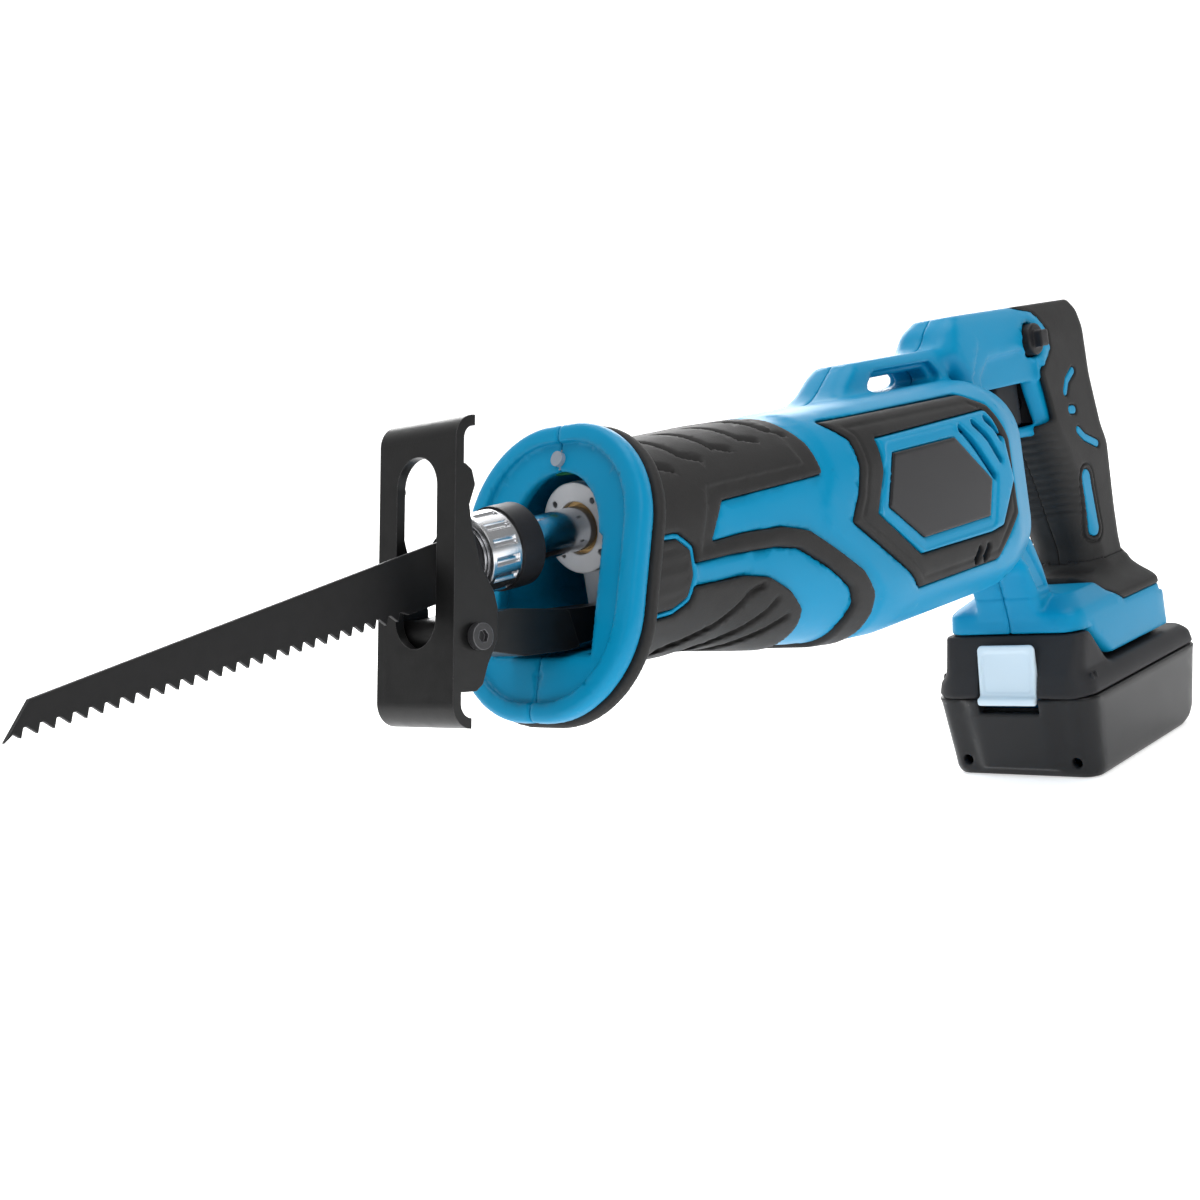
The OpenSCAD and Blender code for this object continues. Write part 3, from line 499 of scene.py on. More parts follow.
grid = lattice((-340, -41.5, 46), (42, 0.5, 202), STEP)
half = shell_field(grid)
left_body = from_field("shell_left", grid, half, 0.05)
right_body = right_half("shell", grid, half, IN_SHELL, 0.05)

# %% [markdown]
# ## The nose sleeve
# The rubber is 3.4 mm thick and stands a little proud of the blue body, with soft edges. Bent
# grooves across its crown and curved ones on its belly keep the hand from slipping. Each is a
# bent line, and the skin sinks by the same depth wherever the line is near.

# %% The sleeve with its grooves
def stroke(g, points, r, plane="xz"):
    """Distance to a line of rounded strokes drawn in two of the axes."""
    a, b = (g[0], g[2]) if plane == "xz" else (g[0], g[1])
    a, b = np.broadcast_arrays(a, b)
    near = np.full(a.shape, 1e9, np.float32)
    for (ax, az), (bx, bz) in zip(points, points[1:]):
        ex, ez = bx - ax, bz - az
        t = np.clip(((a - ax) * ex + (b - az) * ez) / (ex * ex + ez * ez), 0, 1)
        near = np.minimum(near, np.hypot(a - ax - t * ex, b - az - t * ez))
    return near - r


CROWN_GROOVES = [-292, -277.5, -262.5, -247.5, -233]
BELLY_GROOVES = [
    [(-257, 124.5), (-263, 123.5), (-268, 119.5), (-276, 115.5), (-288, 113), (-297, 112)],
    [(-250, 118.5), (-254, 115), (-262, 111), (-272, 108.5), (-284, 107)],
    [(-243, 111.5), (-250, 108.5), (-262, 105), (-272, 103.5)],
]
CROWN_PANEL = [
    (-345, 137), (-286.2, 137), (-285.4, 139.1), (-276.2, 159.4), (-228, 159.4), (-229.5, 164),
    (-229, 210), (-345, 210),
]
GROOVE_HALF, GROOVE_DEEP, GROOVE_WALL = 0.55, 1.7, 0.7


def sleeve_field(g):
    x, y, z = g
    body = barrel(g)
    side = np.abs(y)
    up = np.clip((z - 150) / 6, 0, 1)
    near = np.full(np.broadcast(*g).shape, 9.0, np.float32)
    for cx in CROWN_GROOVES:
        bend = [(cx - 7, 9), (cx, 25.5), (cx + 6.5, 28)]
        near = np.minimum(near, stroke((x, side, z), bend, 0.0, "xy"))
    groove = np.clip((GROOVE_HALF + 0.5 - near) / GROOVE_WALL, 0, 1) * up
    for line in BELLY_GROOVES:
        cut = np.clip((GROOVE_HALF + 0.6 - stroke(g, line, 0.0)) / GROOVE_WALL, 0, 1)
        groove = np.maximum(groove, cut * (1 - up))
    raised = np.clip(0.5 - outline(g, CROWN_PANEL) / 0.9, 0, 1)
    low = np.clip(0.5 + (140 - z) / 2, 0, 1)
    skin = body - 0.1 - 0.8 * np.maximum(raised, low) + GROOVE_DEEP * groove
    rubber = soft_max(skin, sleeve_area(g), 1.3)
    depth, across, up_along = at_flange(g)
    lip = rounded(across, up_along, 39.1, 47.2, 34)
    lip = soft_max(lip, np.abs(depth - FLANGE_THICK - 2.3) - 2.1, 2)
    rubber = soft_min(rubber, lip, 3)
    rubber = np.maximum(rubber, -(body + RUBBER - 0.1))
    return np.maximum(rubber, FLANGE_THICK + 0.12 - depth)


grid = lattice((-334, -40.5, 90), (-197, 40.5, 186), STEP)
sleeve = from_field("rubber_sleeve", grid, sleeve_field(grid), 0.03)

# %% Side pads with plain ridges
PAD_Z, RIDGE_PITCH = 136.0, 5.0


def pad_field(g):
    body = barrel(g)
    wave = np.cos((g[2] - PAD_Z) * 2 * np.pi / RIDGE_PITCH)
    rise = 0.5 * wave * (outline(g, SIDE_PAD) < -2.4)
    d = soft_max(body - 0.3 - 0.35 * rise, outline(g, SIDE_PAD), 1.2)
    return np.maximum(d, -(body + RUBBER - 0.05))


grid = lattice((-314, -36, 123), (-287, -25, 149), 0.45)
pads = on_both_sides("rubber_pads", from_field("pad_left", grid, pad_field(grid), 0.02))

# %% [markdown]
# ## Side covers, bands and blank plates
# Over the motor sits a blue cover in a rubber frame. Three slanted slots near its rear let the
# fan's air out. The plate on it carries nothing here, only its fine grain.

# %% Cover, band and plate
VENTS = [
    [(-133, 158.6), (-124, 150), (-113.5, 138)], [(-123, 159.3), (-115, 152.5), (-108, 143.5)],
    [(-113.5, 159.8), (-109.5, 156.5), (-105.6, 151.5)],
]
BAND_VENTS = (-132, -125.5)
UNDER_COVER = 1.95


def cover_field(g):
    body = barrel(g)
    area = outline(g, COVER)
    plate = outline(g, PLATE)
    d = soft_max(body - 1.4, area, 1.6)
    step = np.clip(0.5 - (plate - 4.2) / 0.8, 0, 1) * 0.5
    d = d + step * (plate > 0.3)
    d = soft_max(d, -np.maximum(plate - 0.25, -(body - 0.15)), 0.5)
    for line in VENTS:
        d = soft_max(d, -stroke(g, line, 1.5), 0.8)
    return np.maximum(d, -(body + UNDER_COVER))


def band_field(g):
    body = barrel(g)
    area = outline(g, BAND)
    inner = outline(g, COVER)
    ring = np.maximum(area, 0.25 - inner)
    groove = np.clip(1.0 - np.abs(area + 3.4), 0, 1) * 0.5
    d = soft_max(body - 0.85 + groove, ring, 1.4)
    for cx in BAND_VENTS:
        d = soft_max(d, -stroke(g, [(cx - 1.3, 109), (cx + 1.0, 112.5)], 1.7), 0.4)
    return np.maximum(d, -(body + UNDER_COVER))


def plate_field(g):
    d = soft_max(-40.7 - g[1], outline(g, PLATE) + 0.05, 0.5)
    return np.maximum(d, g[1] + 39.55)


grid = lattice((-211, -42.5, 104), (-96, -22, 173), 0.6)
bands = on_both_sides("rubber_bands", from_field("band_left", grid, band_field(grid), 0.02))
grid = lattice((-196, -42.5, 115), (-97, -32, 165), 0.5)
cover_left = from_field("cover_left", grid, cover_field(grid), 0.02)
cover_right = mirrored(cover_left, "cover_right")
grid = lattice((-190, -42, 121), (-114, -38.5, 158), 0.4)
plates = on_both_sides("blank_plates", from_field("plate_left", grid, plate_field(grid), 0.02))

# %% [markdown]
# ## Grip rubber, inlays and the base's cap
# The rear grip is a rubber skin on the blue core, and small blue inlays show through its sides.
# The fine ribs on its front come later, from a node tree. The cap covers the base's rear, its
# top drawn up around the grip's foot.

# %% Grip, inlays, base cap
INLAYS = [
    ([(9.5, 168.8), (2.5, 165), (-0.5, 160.4)], 1.7), ([(1.5, 152.3), (4.5, 152)], 1.9),
    ([(5.5, 142.8), (10.5, 139), (21.5, 134.7)], 1.7), ([(8, 121), (11.5, 98)], 3.9),
]
PILL_R = 6.4


def grip_field(g):
    core = lying(g, GRIP, 5)
    d = grip_rubber(g, 0.15, 2.9)
    for line, wide in INLAYS:
        d = soft_max(d, -np.maximum(stroke(g, line, wide + 0.35), -(core + 1.2)), 0.6)
    d = soft_max(d, -rod(g, LOCK_AT, 7.6), 0.8)
    d = np.maximum(d, -trigger_port(g))
    pill = np.abs(stroke(g, INLAYS[3][0], 0.0) - PILL_R) - 0.45
    d = np.maximum(d, -np.maximum(pill, -(core + 0.75)))
    return np.maximum(d, g[1] + 0.08)


def inlay_field(g):
    core = lying(g, GRIP, 5)
    d = np.full(core.shape, 9.0, np.float32)
    for line, wide in INLAYS:
        d = np.minimum(d, stroke(g, line, wide))
    return soft_max(np.maximum(d, -(core + 1.1)), core + 0.15, 0.5)


grid = lattice((-32, -19, 76), (43, 0.4, 202), 0.6)
half = grip_field(grid)
grip_left = from_field("grip_left", grid, half, 0.0)
grip_right = right_half("grip", grid, half, IN_GRIP, 0.0)
grid = lattice((-6, -19, 90), (28, -8, 174), 0.45)
inlays = on_both_sides("blue_inlays", from_field("inlay_left", grid, inlay_field(grid), 0.0))

grid = lattice((-13, -34, 65.5), (42, 34, 88), 0.6)
core = lying(grid, GRIP, 5)
cap_field = soft_max(base_rubber(grid, 0.0), outline(grid, CAP_SIDE), 0.8)
flare = np.maximum(soft_min(cap_field, core + 0.3, 9), outline(grid, CAP_SIDE))
cap_field = np.maximum(flare, -(core - 0.2))
base_cap = from_field("base_cap_rubber", grid, cap_field, 0.02)

# %% [markdown]
# ## The battery
# The battery is two moulded cases with a seam between them. The upper one leans back above its
# shoulder to meet the base, and a pale button for the latch fills its front.

# %% Battery cases and button
HALF_L, HALF_W, SEAM = 56.5, 37.5, 36.0
EYE_Y, EYE_Z, EYE_R = 26, 7, 2.2


def upper_field(g):
    deck = lying(g, [(SEAM + 0.2, -HALF_L, HALF_L, HALF_W, 9),
                     (42, -HALF_L + 1, HALF_L - 1, HALF_W - 1, 9),
                     (45, -HALF_L + 2, HALF_L - 3, HALF_W - 4, 9)], 1.5)
    front = lying(g, [(SEAM + 0.2, -HALF_L - 2.5, -21.8, 33, 9), (45, -HALF_L + 1, -21.8, 33, 8),
                      (61.6, -48, -38.4, 33, 4)], 2)
    d = soft_min(deck, front, 2.5)
    d = np.minimum(d, brick(g, (-42, -24, 44), (38, 24, 56)))
    d = np.minimum(d, brick(g, (-42, -27.4, 54.7), (38, 27.4, 61.6)))
    hollow = lying(g, [(SEAM - 2, -HALF_L + 3, HALF_L - 3, HALF_W - 3, 6),
                       (42, -HALF_L + 4, HALF_L - 5, HALF_W - 5, 6)], 1)
    d = np.maximum(d, -hollow)
    d = soft_max(d, -brick(g, (-70, -14.2, 30), (-53, 14.2, 59)), 1.0)
    d = np.maximum(d, -brick(g, (-54, -5.6, 40.5), (-44, 5.6, 49.8)))
    for cy in (-8, 0, 8):
        d = np.maximum(d, -brick(g, (-45, cy - 1.2, 55.5), (39, cy + 1.2, 63.5)))
    return d


def lower_field(g):
    x, y, z = g
    case = lying(g, [(0, -HALF_L + 5, HALF_L - 16, HALF_W - 3.8, 7),
                     (3, -HALF_L + 3.4, HALF_L - 9, HALF_W - 2.4, 8),
                     (7, -HALF_L + 3.2, HALF_L - 5, HALF_W - 2.2, 8),
                     (SEAM - 0.25, -HALF_L, HALF_L, HALF_W, 9)], 2)
    bulge = lying(g, [(4, -HALF_L + 1, 0, 22, 8), (SEAM - 0.25, -HALF_L - 2.5, 0, 24, 8)], 2)
    d = soft_min(case, bulge, 2)
    lip = np.clip(1 - np.abs(z - SEAM + 1.3) / 1.3, 0, 1) * 0.35
    d = d - lip * (z < SEAM)
    d = np.maximum(d, z - SEAM + 0.25)
    d = np.maximum(d, -z)
    hollow = lying(g, [(2.4, -HALF_L + 8, HALF_L - 18, HALF_W - 7, 5),
                       (8, -HALF_L + 6.4, HALF_L - 9, HALF_W - 5.2, 5),
                       (SEAM + 1, -HALF_L + 3.4, HALF_L - 3, HALF_W - 3, 5)], 2)
    d = np.maximum(d, -hollow)
    d = soft_max(d, -brick(g, (-70, -14.2, 29.5), (-53, 14.2, 40)), 1.0)
    for cy in (-EYE_Y, EYE_Y):
        hole = np.maximum(np.hypot(y - cy, z - EYE_Z) - EYE_R, x + 49)
        d = soft_max(d, -hole, 0.8)
    return d


grid = lattice((-60, -39, SEAM - 1), (58, 39, 63), 0.65)
battery_top = from_field("battery_case_upper", grid, upper_field(grid), 0.03)
grid = lattice((-60, -39, -1), (58, 39, SEAM + 1), 0.65)
battery_bottom = from_field("battery_case_lower", grid, lower_field(grid), 0.03)


def button_field(g):
    x, y, z = g
    front = -57.5 + (z - 35) * 3.2 / 23.6
    d = soft_max(rounded(y, z - 46.5, 13.6, 12.2, 2.4), np.maximum(front - x, x + 52.6), 1.2)
    dent = soft_max(rounded(y, z - 47, 11.2, 8.6, 2.0), x - front - 0.7, 0.6)
    d = soft_max(d, -dent, 1)
    lip = soft_max(rounded(x + 58.2, z - 34.9, 1.7, 1.8, 1.4), np.abs(y) - 13.6, 1)
    d = soft_min(d, lip, 1.2)
    return np.minimum(d, brick(g, (-54.6, -5, 44), (-44.6, 5, 49)))


grid = lattice((-61, -15, 31), (-43, 15, 60), 0.35)
button = from_field("battery_button", grid, button_field(grid), 0.02)

# %% [markdown]
# ## The trigger and the lock button
# The index finger squeezes a lever whose front is hollowed by a large round, and above it a
# button crosses the handle, with a small peg at its near end. Both are a few plain shapes with
# soft edges, so they are fields again, on a finer grid than the large cases.

# %% Trigger and lock button
TRIGGER_SIDE = [(-46, 150), (-49, 157), (-48, 164), (-45, 171.5), (-26, 171.5), (-26, 150)]
PEG_X = -21.2


def trigger_field(g):
    d = soft_max(outline(g, TRIGGER_SIDE), np.abs(g[1]) - 7.8, 2.6)
    d = soft_max(d, -rod(g, (-70, 160.5), 23), 2)
    return np.maximum(d, -brick(g, (-33.5, -5, 153), (-23, 5, 165)))


grid = lattice((-51, -9, 148.5), (-24.5, 9, 173), 0.35)
trigger = from_field("trigger_lever", grid, trigger_field(grid), 0.02)


def lock_field(g):
    x, y, z = g
    d = soft_max(np.hypot(x - LOCK_AT[0], z - LOCK_AT[1]) - 6.8, np.abs(y) - 17, 1.2)
    peg = rounded(x - PEG_X, z - LOCK_AT[1], 3.5, 3.5, 1)
    peg = soft_max(peg, np.maximum(-20.5 - y, y + 14), 0.8)
    return soft_min(d, peg, 0.8)


grid = lattice((-30, -22, 177.5), (-13.5, 18.5, 193.5), 0.35)
lock = from_field("lock_peg", grid, lock_field(grid), 0.02)

# %% [markdown]
# ## Finishes
# One small class lets shader maths be written as ordinary sums, and one method adds any other
# node. Each finish is then a few lines that read like a recipe.

# %% A shader recipe book
class Flow:
    """A socket of a node tree that sums, products and comparisons can be written on."""

    def __init__(self, tree, socket):
        self.tree, self.socket = tree, socket

    def math(self, operation, *values):
        node = self.tree.nodes.new("ShaderNodeMath")
        node.operation = operation
        for slot_in, value in zip(node.inputs, values):
            connect(self.tree, value, slot_in)
        return Flow(self.tree, node.outputs[0])

    def __add__(self, other):
        return self.math("ADD", self, other)

    def __radd__(self, other):
        return self.math("ADD", other, self)

    def __sub__(self, other):
        return self.math("SUBTRACT", self, other)

    def __rsub__(self, other):
        return self.math("SUBTRACT", other, self)

    def __mul__(self, other):
        return self.math("MULTIPLY", self, other)

    def __rmul__(self, other):
        return self.math("MULTIPLY", other, self)

    def __truediv__(self, other):
        return self.math("DIVIDE", self, other)

    def clamped(self, low, high):
        return self.math("MINIMUM", self.math("MAXIMUM", self, low), high)


def connect(tree, value, slot_in):
    if isinstance(value, Flow):
        tree.links.new(value.socket, slot_in)
    else:
        slot_in.default_value = value


EDGE_GAIN = 6.0


class Finish:
    """A material with a Principled shader, and one method that adds any other node."""

    def __init__(self, name, color, metallic=0.0, coat=0.0, transmission=0.0, gloss=0.5):
        self.material = bpy.data.materials.new(name)
        self.material.use_nodes = True
        self.material.diffuse_color = (*color, 1)
        self.tree = self.material.node_tree
        self.shader = self.tree.nodes["Principled BSDF"]
        for key, value in {"Base Color": (*color, 1), "Metallic": metallic, "Coat Weight": coat,
                           "Coat Roughness": 0.12, "IOR": 1.5, "Transmission Weight": transmission,
                           "Specular IOR Level": gloss}.items():
            self.shader.inputs[key].default_value = value
        self.place = self.add("ShaderNodeTexCoord", {}, {}, "Object")

    def add(self, kind, settings, inputs, output=0):
        """Adds a node: its settings first, then the values or links of its sockets."""
        node = self.tree.nodes.new(kind)
        for key, value in settings.items():
            setattr(node, key, value)
        for key, value in inputs.items():
            connect(self.tree, value, node.inputs[key])
        return Flow(self.tree, node.outputs[output])

    def noise(self, scale, detail, stretch=None):
        where = self.place
        if stretch:
            where = self.add("ShaderNodeMapping", {}, {"Vector": where, "Scale": stretch})
        return self.add("ShaderNodeTexNoise", {},
                        {"Vector": where, "Scale": scale, "Detail": detail})

    def blend(self, factor, a, b):
        return self.add("ShaderNodeMix", {"data_type": "RGBA"}, {0: factor, 6: a, 7: b}, 2)

    def feed(self, key, value):
        connect(self.tree, value, self.shader.inputs[key])

    def relief(self, height, depth, radius):
        """A bump of a real depth in metres, over edges that are rounded by radius."""
        self.feed("Normal", self.add("ShaderNodeBump", {}, {
            "Height": height, "Distance": depth, "Strength": 1.0, "Normal": self.bevel(radius)}))

    def bevel(self, radius):
        """The surface direction, turned as if the edges were rounded."""
        return self.add("ShaderNodeBevel", {"samples": 4}, {"Radius": radius})

    def edges(self, radius):
        """Near 1 on a sharp edge and 0 on a flat face."""
        true = self.add("ShaderNodeNewGeometry", {}, {}, "Normal")
        same = self.add("ShaderNodeVectorMath", {"operation": "DOT_PRODUCT"},
                        {0: self.bevel(radius), 1: true}, "Value")
        return ((1.0 - same) * EDGE_GAIN).clamped(0.0, 1.0)


def shade(color, by):
    return tuple(min(1.0, c * by) for c in color) + (1,)


def plastic(name, color, rough, grain, coat=0.0):
    """Moulded plastic: a fine spark-eroded grain and a faint uneven gloss."""
    f = Finish(name, color, coat=coat, gloss=0.15)
    cloud = f.noise(18, 2)
    f.feed("Base Color", f.blend(cloud, shade(color, 0.93), shade(color, 1.06)))
    f.feed("Roughness", rough - 0.05 + 0.10 * f.noise(60, 4))
    f.relief(f.noise(2600, 2), grain, 0.0006)
    return f.material


def rubber(name, color):
    """Soft rubber: a matt leathery grain, and a slight bloom where it is handled."""
    f = Finish(name, color, gloss=0.32)
    bloom = f.noise(14, 3)
    f.feed("Base Color", f.blend((bloom - 0.35) * 1.6, shade(color, 0.85), shade(color, 1.25)))
    f.feed("Roughness", 0.56 + 0.14 * f.noise(90, 3))
    f.relief(f.noise(1500, 4) + 0.5 * f.noise(420, 2), 0.00006, 0.0008)
    return f.material


def turned(name, color, rough, axis="x"):
    """Turned or ground steel: fine lines around the part, and edges rounded in the shading."""
    f = Finish(name, color, metallic=1.0)
    stretch = {"x": (4.0, 0.25, 0.25), "z": (0.25, 0.25, 4.0)}[axis]
    lines = f.noise(700, 3, stretch)
    f.feed("Base Color", f.blend(lines, shade(color, 0.9), shade(color, 1.08)))
    f.feed("Roughness", rough - 0.06 + 0.14 * lines)
    f.relief(lines, 0.000012, 0.0004)
    return f.material


def cast(name, color, rough=0.5):
    """Die-cast aluminium: a dull skin with faint flow marks and a fine pebbled grain."""
    f = Finish(name, color, metallic=0.85)
    flow = f.noise(35, 5)
    f.feed("Base Color", f.blend(flow, shade(color, 0.78), shade(color, 1.1)))
    f.feed("Roughness", rough - 0.1 + 0.22 * f.noise(120, 4))
    f.relief(f.noise(900, 4), 0.00005, 0.0008)
    return f.material


def coated(name, color, bare, rough):
    """Black coated steel: a smooth dark skin, rubbed to bare metal on its sharpest edges."""
    f = Finish(name, color, gloss=0.3)
    worn = (f.edges(0.0004) * (0.1 + f.noise(160, 4))).clamped(0.0, 0.6)
    f.feed("Base Color", f.blend(worn, shade(color, 1.0), (*bare, 1)))
    f.feed("Metallic", 0.9 * worn)
    f.feed("Roughness", rough - 0.08 + 0.2 * f.noise(240, 4))
    f.relief(f.noise(1400, 3), 0.00002, 0.0004)
    return f.material


def copper(name, color):
    f = Finish(name, color, metallic=1.0)
    strands = f.noise(500, 2, (0.2, 3.0, 3.0))
    f.feed("Base Color", f.blend(strands, shade(color, 0.75), shade(color, 1.1)))
    f.feed("Roughness", 0.25 + 0.15 * strands)
    f.relief(strands, 0.00006, 0.0003)
    return f.material


def clear(name):
    f = Finish(name, (0.55, 0.60, 0.66), transmission=0.55)
    f.feed("Roughness", 0.05 + 0.06 * f.noise(300, 2))
    f.relief(f.noise(800, 2), 0.00001, 0.0003)
    return f.material


finishes = {
    "blue": plastic("blue_plastic", (0.0, 0.235, 0.44), 0.40, 0.000025, 0.04),
    "rubber": rubber("black_rubber", (0.015, 0.0145, 0.0145)),
    "plate": plastic("plate_plastic", (0.016, 0.016, 0.018), 0.30, 0.00002, 0.1),
    "black": plastic("black_plastic", (0.017, 0.017, 0.019), 0.40, 0.00004),
    "case_top": plastic("case_plastic_matt", (0.026, 0.026, 0.028), 0.55, 0.00005),
    "case_low": plastic("case_plastic", (0.014, 0.014, 0.015), 0.34, 0.00003, 0.1),
    "button": plastic("button_plastic", (0.62, 0.74, 0.82), 0.36, 0.00002, 0.2),
    "nylon": plastic("grey_nylon", (0.04, 0.04, 0.042), 0.5, 0.00005),
    "board": plastic("board_green", (0.01, 0.12, 0.04), 0.3, 0.00001, 0.3),
    "cell": plastic("cell_film", (0.01, 0.13, 0.32), 0.25, 0.00001, 0.4),
    "magnet": plastic("ferrite", (0.05, 0.05, 0.052), 0.6, 0.00004),
    "steel": turned("ground_steel", (0.58, 0.58, 0.60), 0.26),
    "chrome": turned("hard_chrome", (0.74, 0.75, 0.77), 0.14),
    "gear": turned("sintered_steel", (0.36, 0.36, 0.38), 0.42, "z"),
    "bright": turned("bright_alloy", (0.80, 0.81, 0.83), 0.2),
    "dark_steel": coated("dark_steel", (0.03, 0.03, 0.032), (0.4, 0.4, 0.42), 0.38),
    "blade": coated("blade_black", (0.005, 0.005, 0.0055), (0.12, 0.12, 0.125), 0.5),
    "shoe": coated("shoe_black", (0.004, 0.004, 0.0042), (0.12, 0.12, 0.125), 0.34),
    "cast": cast("cast_alloy", (0.52, 0.53, 0.55)),
    "bronze": cast("sintered_bronze", (0.55, 0.36, 0.16), 0.42),
    "copper": copper("copper_wire", (0.75, 0.30, 0.12)),
    "lens": clear("clear_lens"),
}
print(len(finishes), "finishes")

# %% [markdown]
# ## Parts that repeat
# Screws, ribs and nubs follow rules, so Geometry Nodes place them: a screw at each hole, ribs
# pressed into the grip's front at an even pitch, and nubs in a row on the battery's shoulder.
# Each tree has named sizes, and its result is kept as a plain mesh.

# %% A tree and its result
SHARP_FROM = 35


class Recipe(Finish):
    """A Geometry Nodes tree with named inputs."""

    def __init__(self, name, sizes):
        self.tree = bpy.data.node_groups.new(name, "GeometryNodeTree")
        self.socket("Geometry", "INPUT", "Geometry")
        self.ids = {}
        for key, value in sizes.items():
            kind = {int: "Int", float: "Float", tuple: "Vector"}.get(type(value), "Material")
            self.ids[key] = self.socket(key, "INPUT", kind).identifier
        self.sizes = sizes
        self.socket("Geometry", "OUTPUT", "Geometry")
        self.start = self.tree.nodes.new("NodeGroupInput")

    def socket(self, key, way, kind):
        return self.tree.interface.new_socket(key, in_out=way, socket_type="NodeSocket" + kind)

    def input(self, key):
        return Flow(self.tree, self.start.outputs[key])

    def result(self, name, base, shape):
        """Ends the tree, runs it on base and keeps what comes out as a plain mesh."""
        real = self.add("GeometryNodeRealizeInstances", {}, {"Geometry": shape})
        painted = self.add("GeometryNodeSetMaterial", {},
                           {"Geometry": real, "Material": self.input("Material")})
        end = self.tree.nodes.new("NodeGroupOutput")
        connect(self.tree, painted, end.inputs[0])
        modifier = base.modifiers.new("nodes", "NODES")
        modifier.node_group = self.tree
        for key, value in self.sizes.items():
            modifier[self.ids[key]] = value
        ready = base.evaluated_get(bpy.context.evaluated_depsgraph_get())
        mesh = bpy.data.meshes.new_from_object(ready)
        base.modifiers.remove(modifier)
        piece = bpy.data.objects.new(name, mesh)
        bpy.context.scene.collection.objects.link(piece)
        bpy.data.objects.remove(base)
        smooth(piece, SHARP_FROM)
        print(name, len(mesh.polygons), "faces")
        return piece


# %% Screws
def lathe(name, profile, sides=32):
    """Turns a profile of (radius, height, lobes) around z, with a point at each end."""
    points, faces = [(0, 0, profile[0][1] * MM)], []
    for r, h, lobes in profile:
        for i in range(sides):
            a = 2 * math.pi * i / sides
            out = (r + lobes * math.cos(6 * a)) * MM
            points.append((out * math.cos(a), out * math.sin(a), h * MM))
    points.append((0, 0, profile[-1][1] * MM))
    for i in range(sides):
        j = (i + 1) % sides
        faces.append((0, 1 + j, 1 + i))
        for k in range(len(profile) - 1):
            a, b = 1 + k * sides, 1 + (k + 1) * sides
            faces.append((a + i, a + j, b + j, b + i))
        last = 1 + (len(profile) - 1) * sides
        faces.append((last + i, last + j, len(points) - 1))
    return new_object(name, points, faces)


SCREW = [
    (1.9, -9, 0), (1.9, 0.05, 0), (3.1, 0.05, 0), (3.4, 0.4, 0), (3.35, 1.3, 0), (2.9, 2.1, 0),
    (2.0, 2.42, 0), (1.45, 2.42, 0.22), (1.4, 1.0, 0.2), (0.5, 0.8, 0),
]
head = lathe("screw_head", SCREW)
seats = new_object("screw_seats", [(x * MM, seat * MM, z * MM) for x, z, seat in SCREWS], [])
recipe = Recipe("screws", {"Size": 1.0, "Seed": 7, "Material": finishes["dark_steel"]})
dots = recipe.add("GeometryNodeMeshToPoints", {}, {"Mesh": recipe.input("Geometry")})
shape = recipe.add("GeometryNodeObjectInfo", {}, {"Object": head}, "Geometry")
turn = recipe.add("FunctionNodeRandomValue", {"data_type": "FLOAT"},
                  {"Max": math.tau, "Seed": recipe.input("Seed")}, 1)
facing = recipe.add("ShaderNodeCombineXYZ", {}, {"X": -math.pi / 2, "Y": turn, "Z": 0.0})
placed = recipe.add("GeometryNodeInstanceOnPoints", {}, {"Points": dots, "Instance": shape,
                    "Rotation": facing, "Scale": recipe.input("Size")})
screws = recipe.result("shell_screws", seats, placed)
bpy.data.objects.remove(head)

# %% Ribs pressed into the grip
RIB_FOOT, RIB_TOP = GRIP[2], GRIP[5]
GRIP_LEAN = (RIB_TOP[1] - RIB_FOOT[1]) / (RIB_TOP[0] - RIB_FOOT[0])
RIB_LEVEL, RIB_ENDS = 0.8, 300.0


def press_ribs(piece, name):
    """Moves the skin in and out in a row of soft ribs, which fade towards the rear.

    It stays where it is across the tool, so the two halves still meet on the middle plane.
    """
    recipe = Recipe("grip ribs", {
        "Pitch": 0.0037, "Depth": 0.0011, "Lowest": 0.103, "Highest": 0.148,
        "Fade From": 0.003, "Fade Over": 0.017, "Material": finishes["rubber"]})
    place = recipe.add("GeometryNodeInputPosition", {}, {})
    x, z = (recipe.add("ShaderNodeSeparateXYZ", {}, {"Vector": place}, k) for k in "XZ")
    low, high = recipe.input("Lowest"), recipe.input("Highest")
    behind = x - RIB_FOOT[1] * MM - GRIP_LEAN * (z - RIB_FOOT[0] * MM)
    fade = (behind - recipe.input("Fade From")) / recipe.input("Fade Over")
    front = (1.0 - fade).clamped(0.0, 1.0)
    ends = ((z - low) * RIB_ENDS).clamped(0.0, 1.0) * ((high - z) * RIB_ENDS).clamped(0.0, 1.0)
    swing = (z - low) / recipe.input("Pitch") * math.pi
    wave = swing.math("ABSOLUTE", swing.math("SINE", swing))
    height = recipe.input("Depth") * (wave - RIB_LEVEL) * front * ends
    along = recipe.add("GeometryNodeInputNormal", {}, {})
    ahead = recipe.add("ShaderNodeVectorMath", {"operation": "MULTIPLY"},
                       {0: along, 1: (1.0, 0.0, 1.0)})
    moved = recipe.add("ShaderNodeVectorMath", {"operation": "SCALE"}, {0: ahead, "Scale": height})
    pressed = recipe.add("GeometryNodeSetPosition", {},
                         {"Geometry": recipe.input("Geometry"), "Offset": moved})
    out = recipe.result(name, piece, pressed)
    smooth(out, ALL_SMOOTH)
    return out


grip_left = press_ribs(grip_left, "grip_rubber_left")
grip_right = press_ribs(grip_right, "grip_rubber_right")

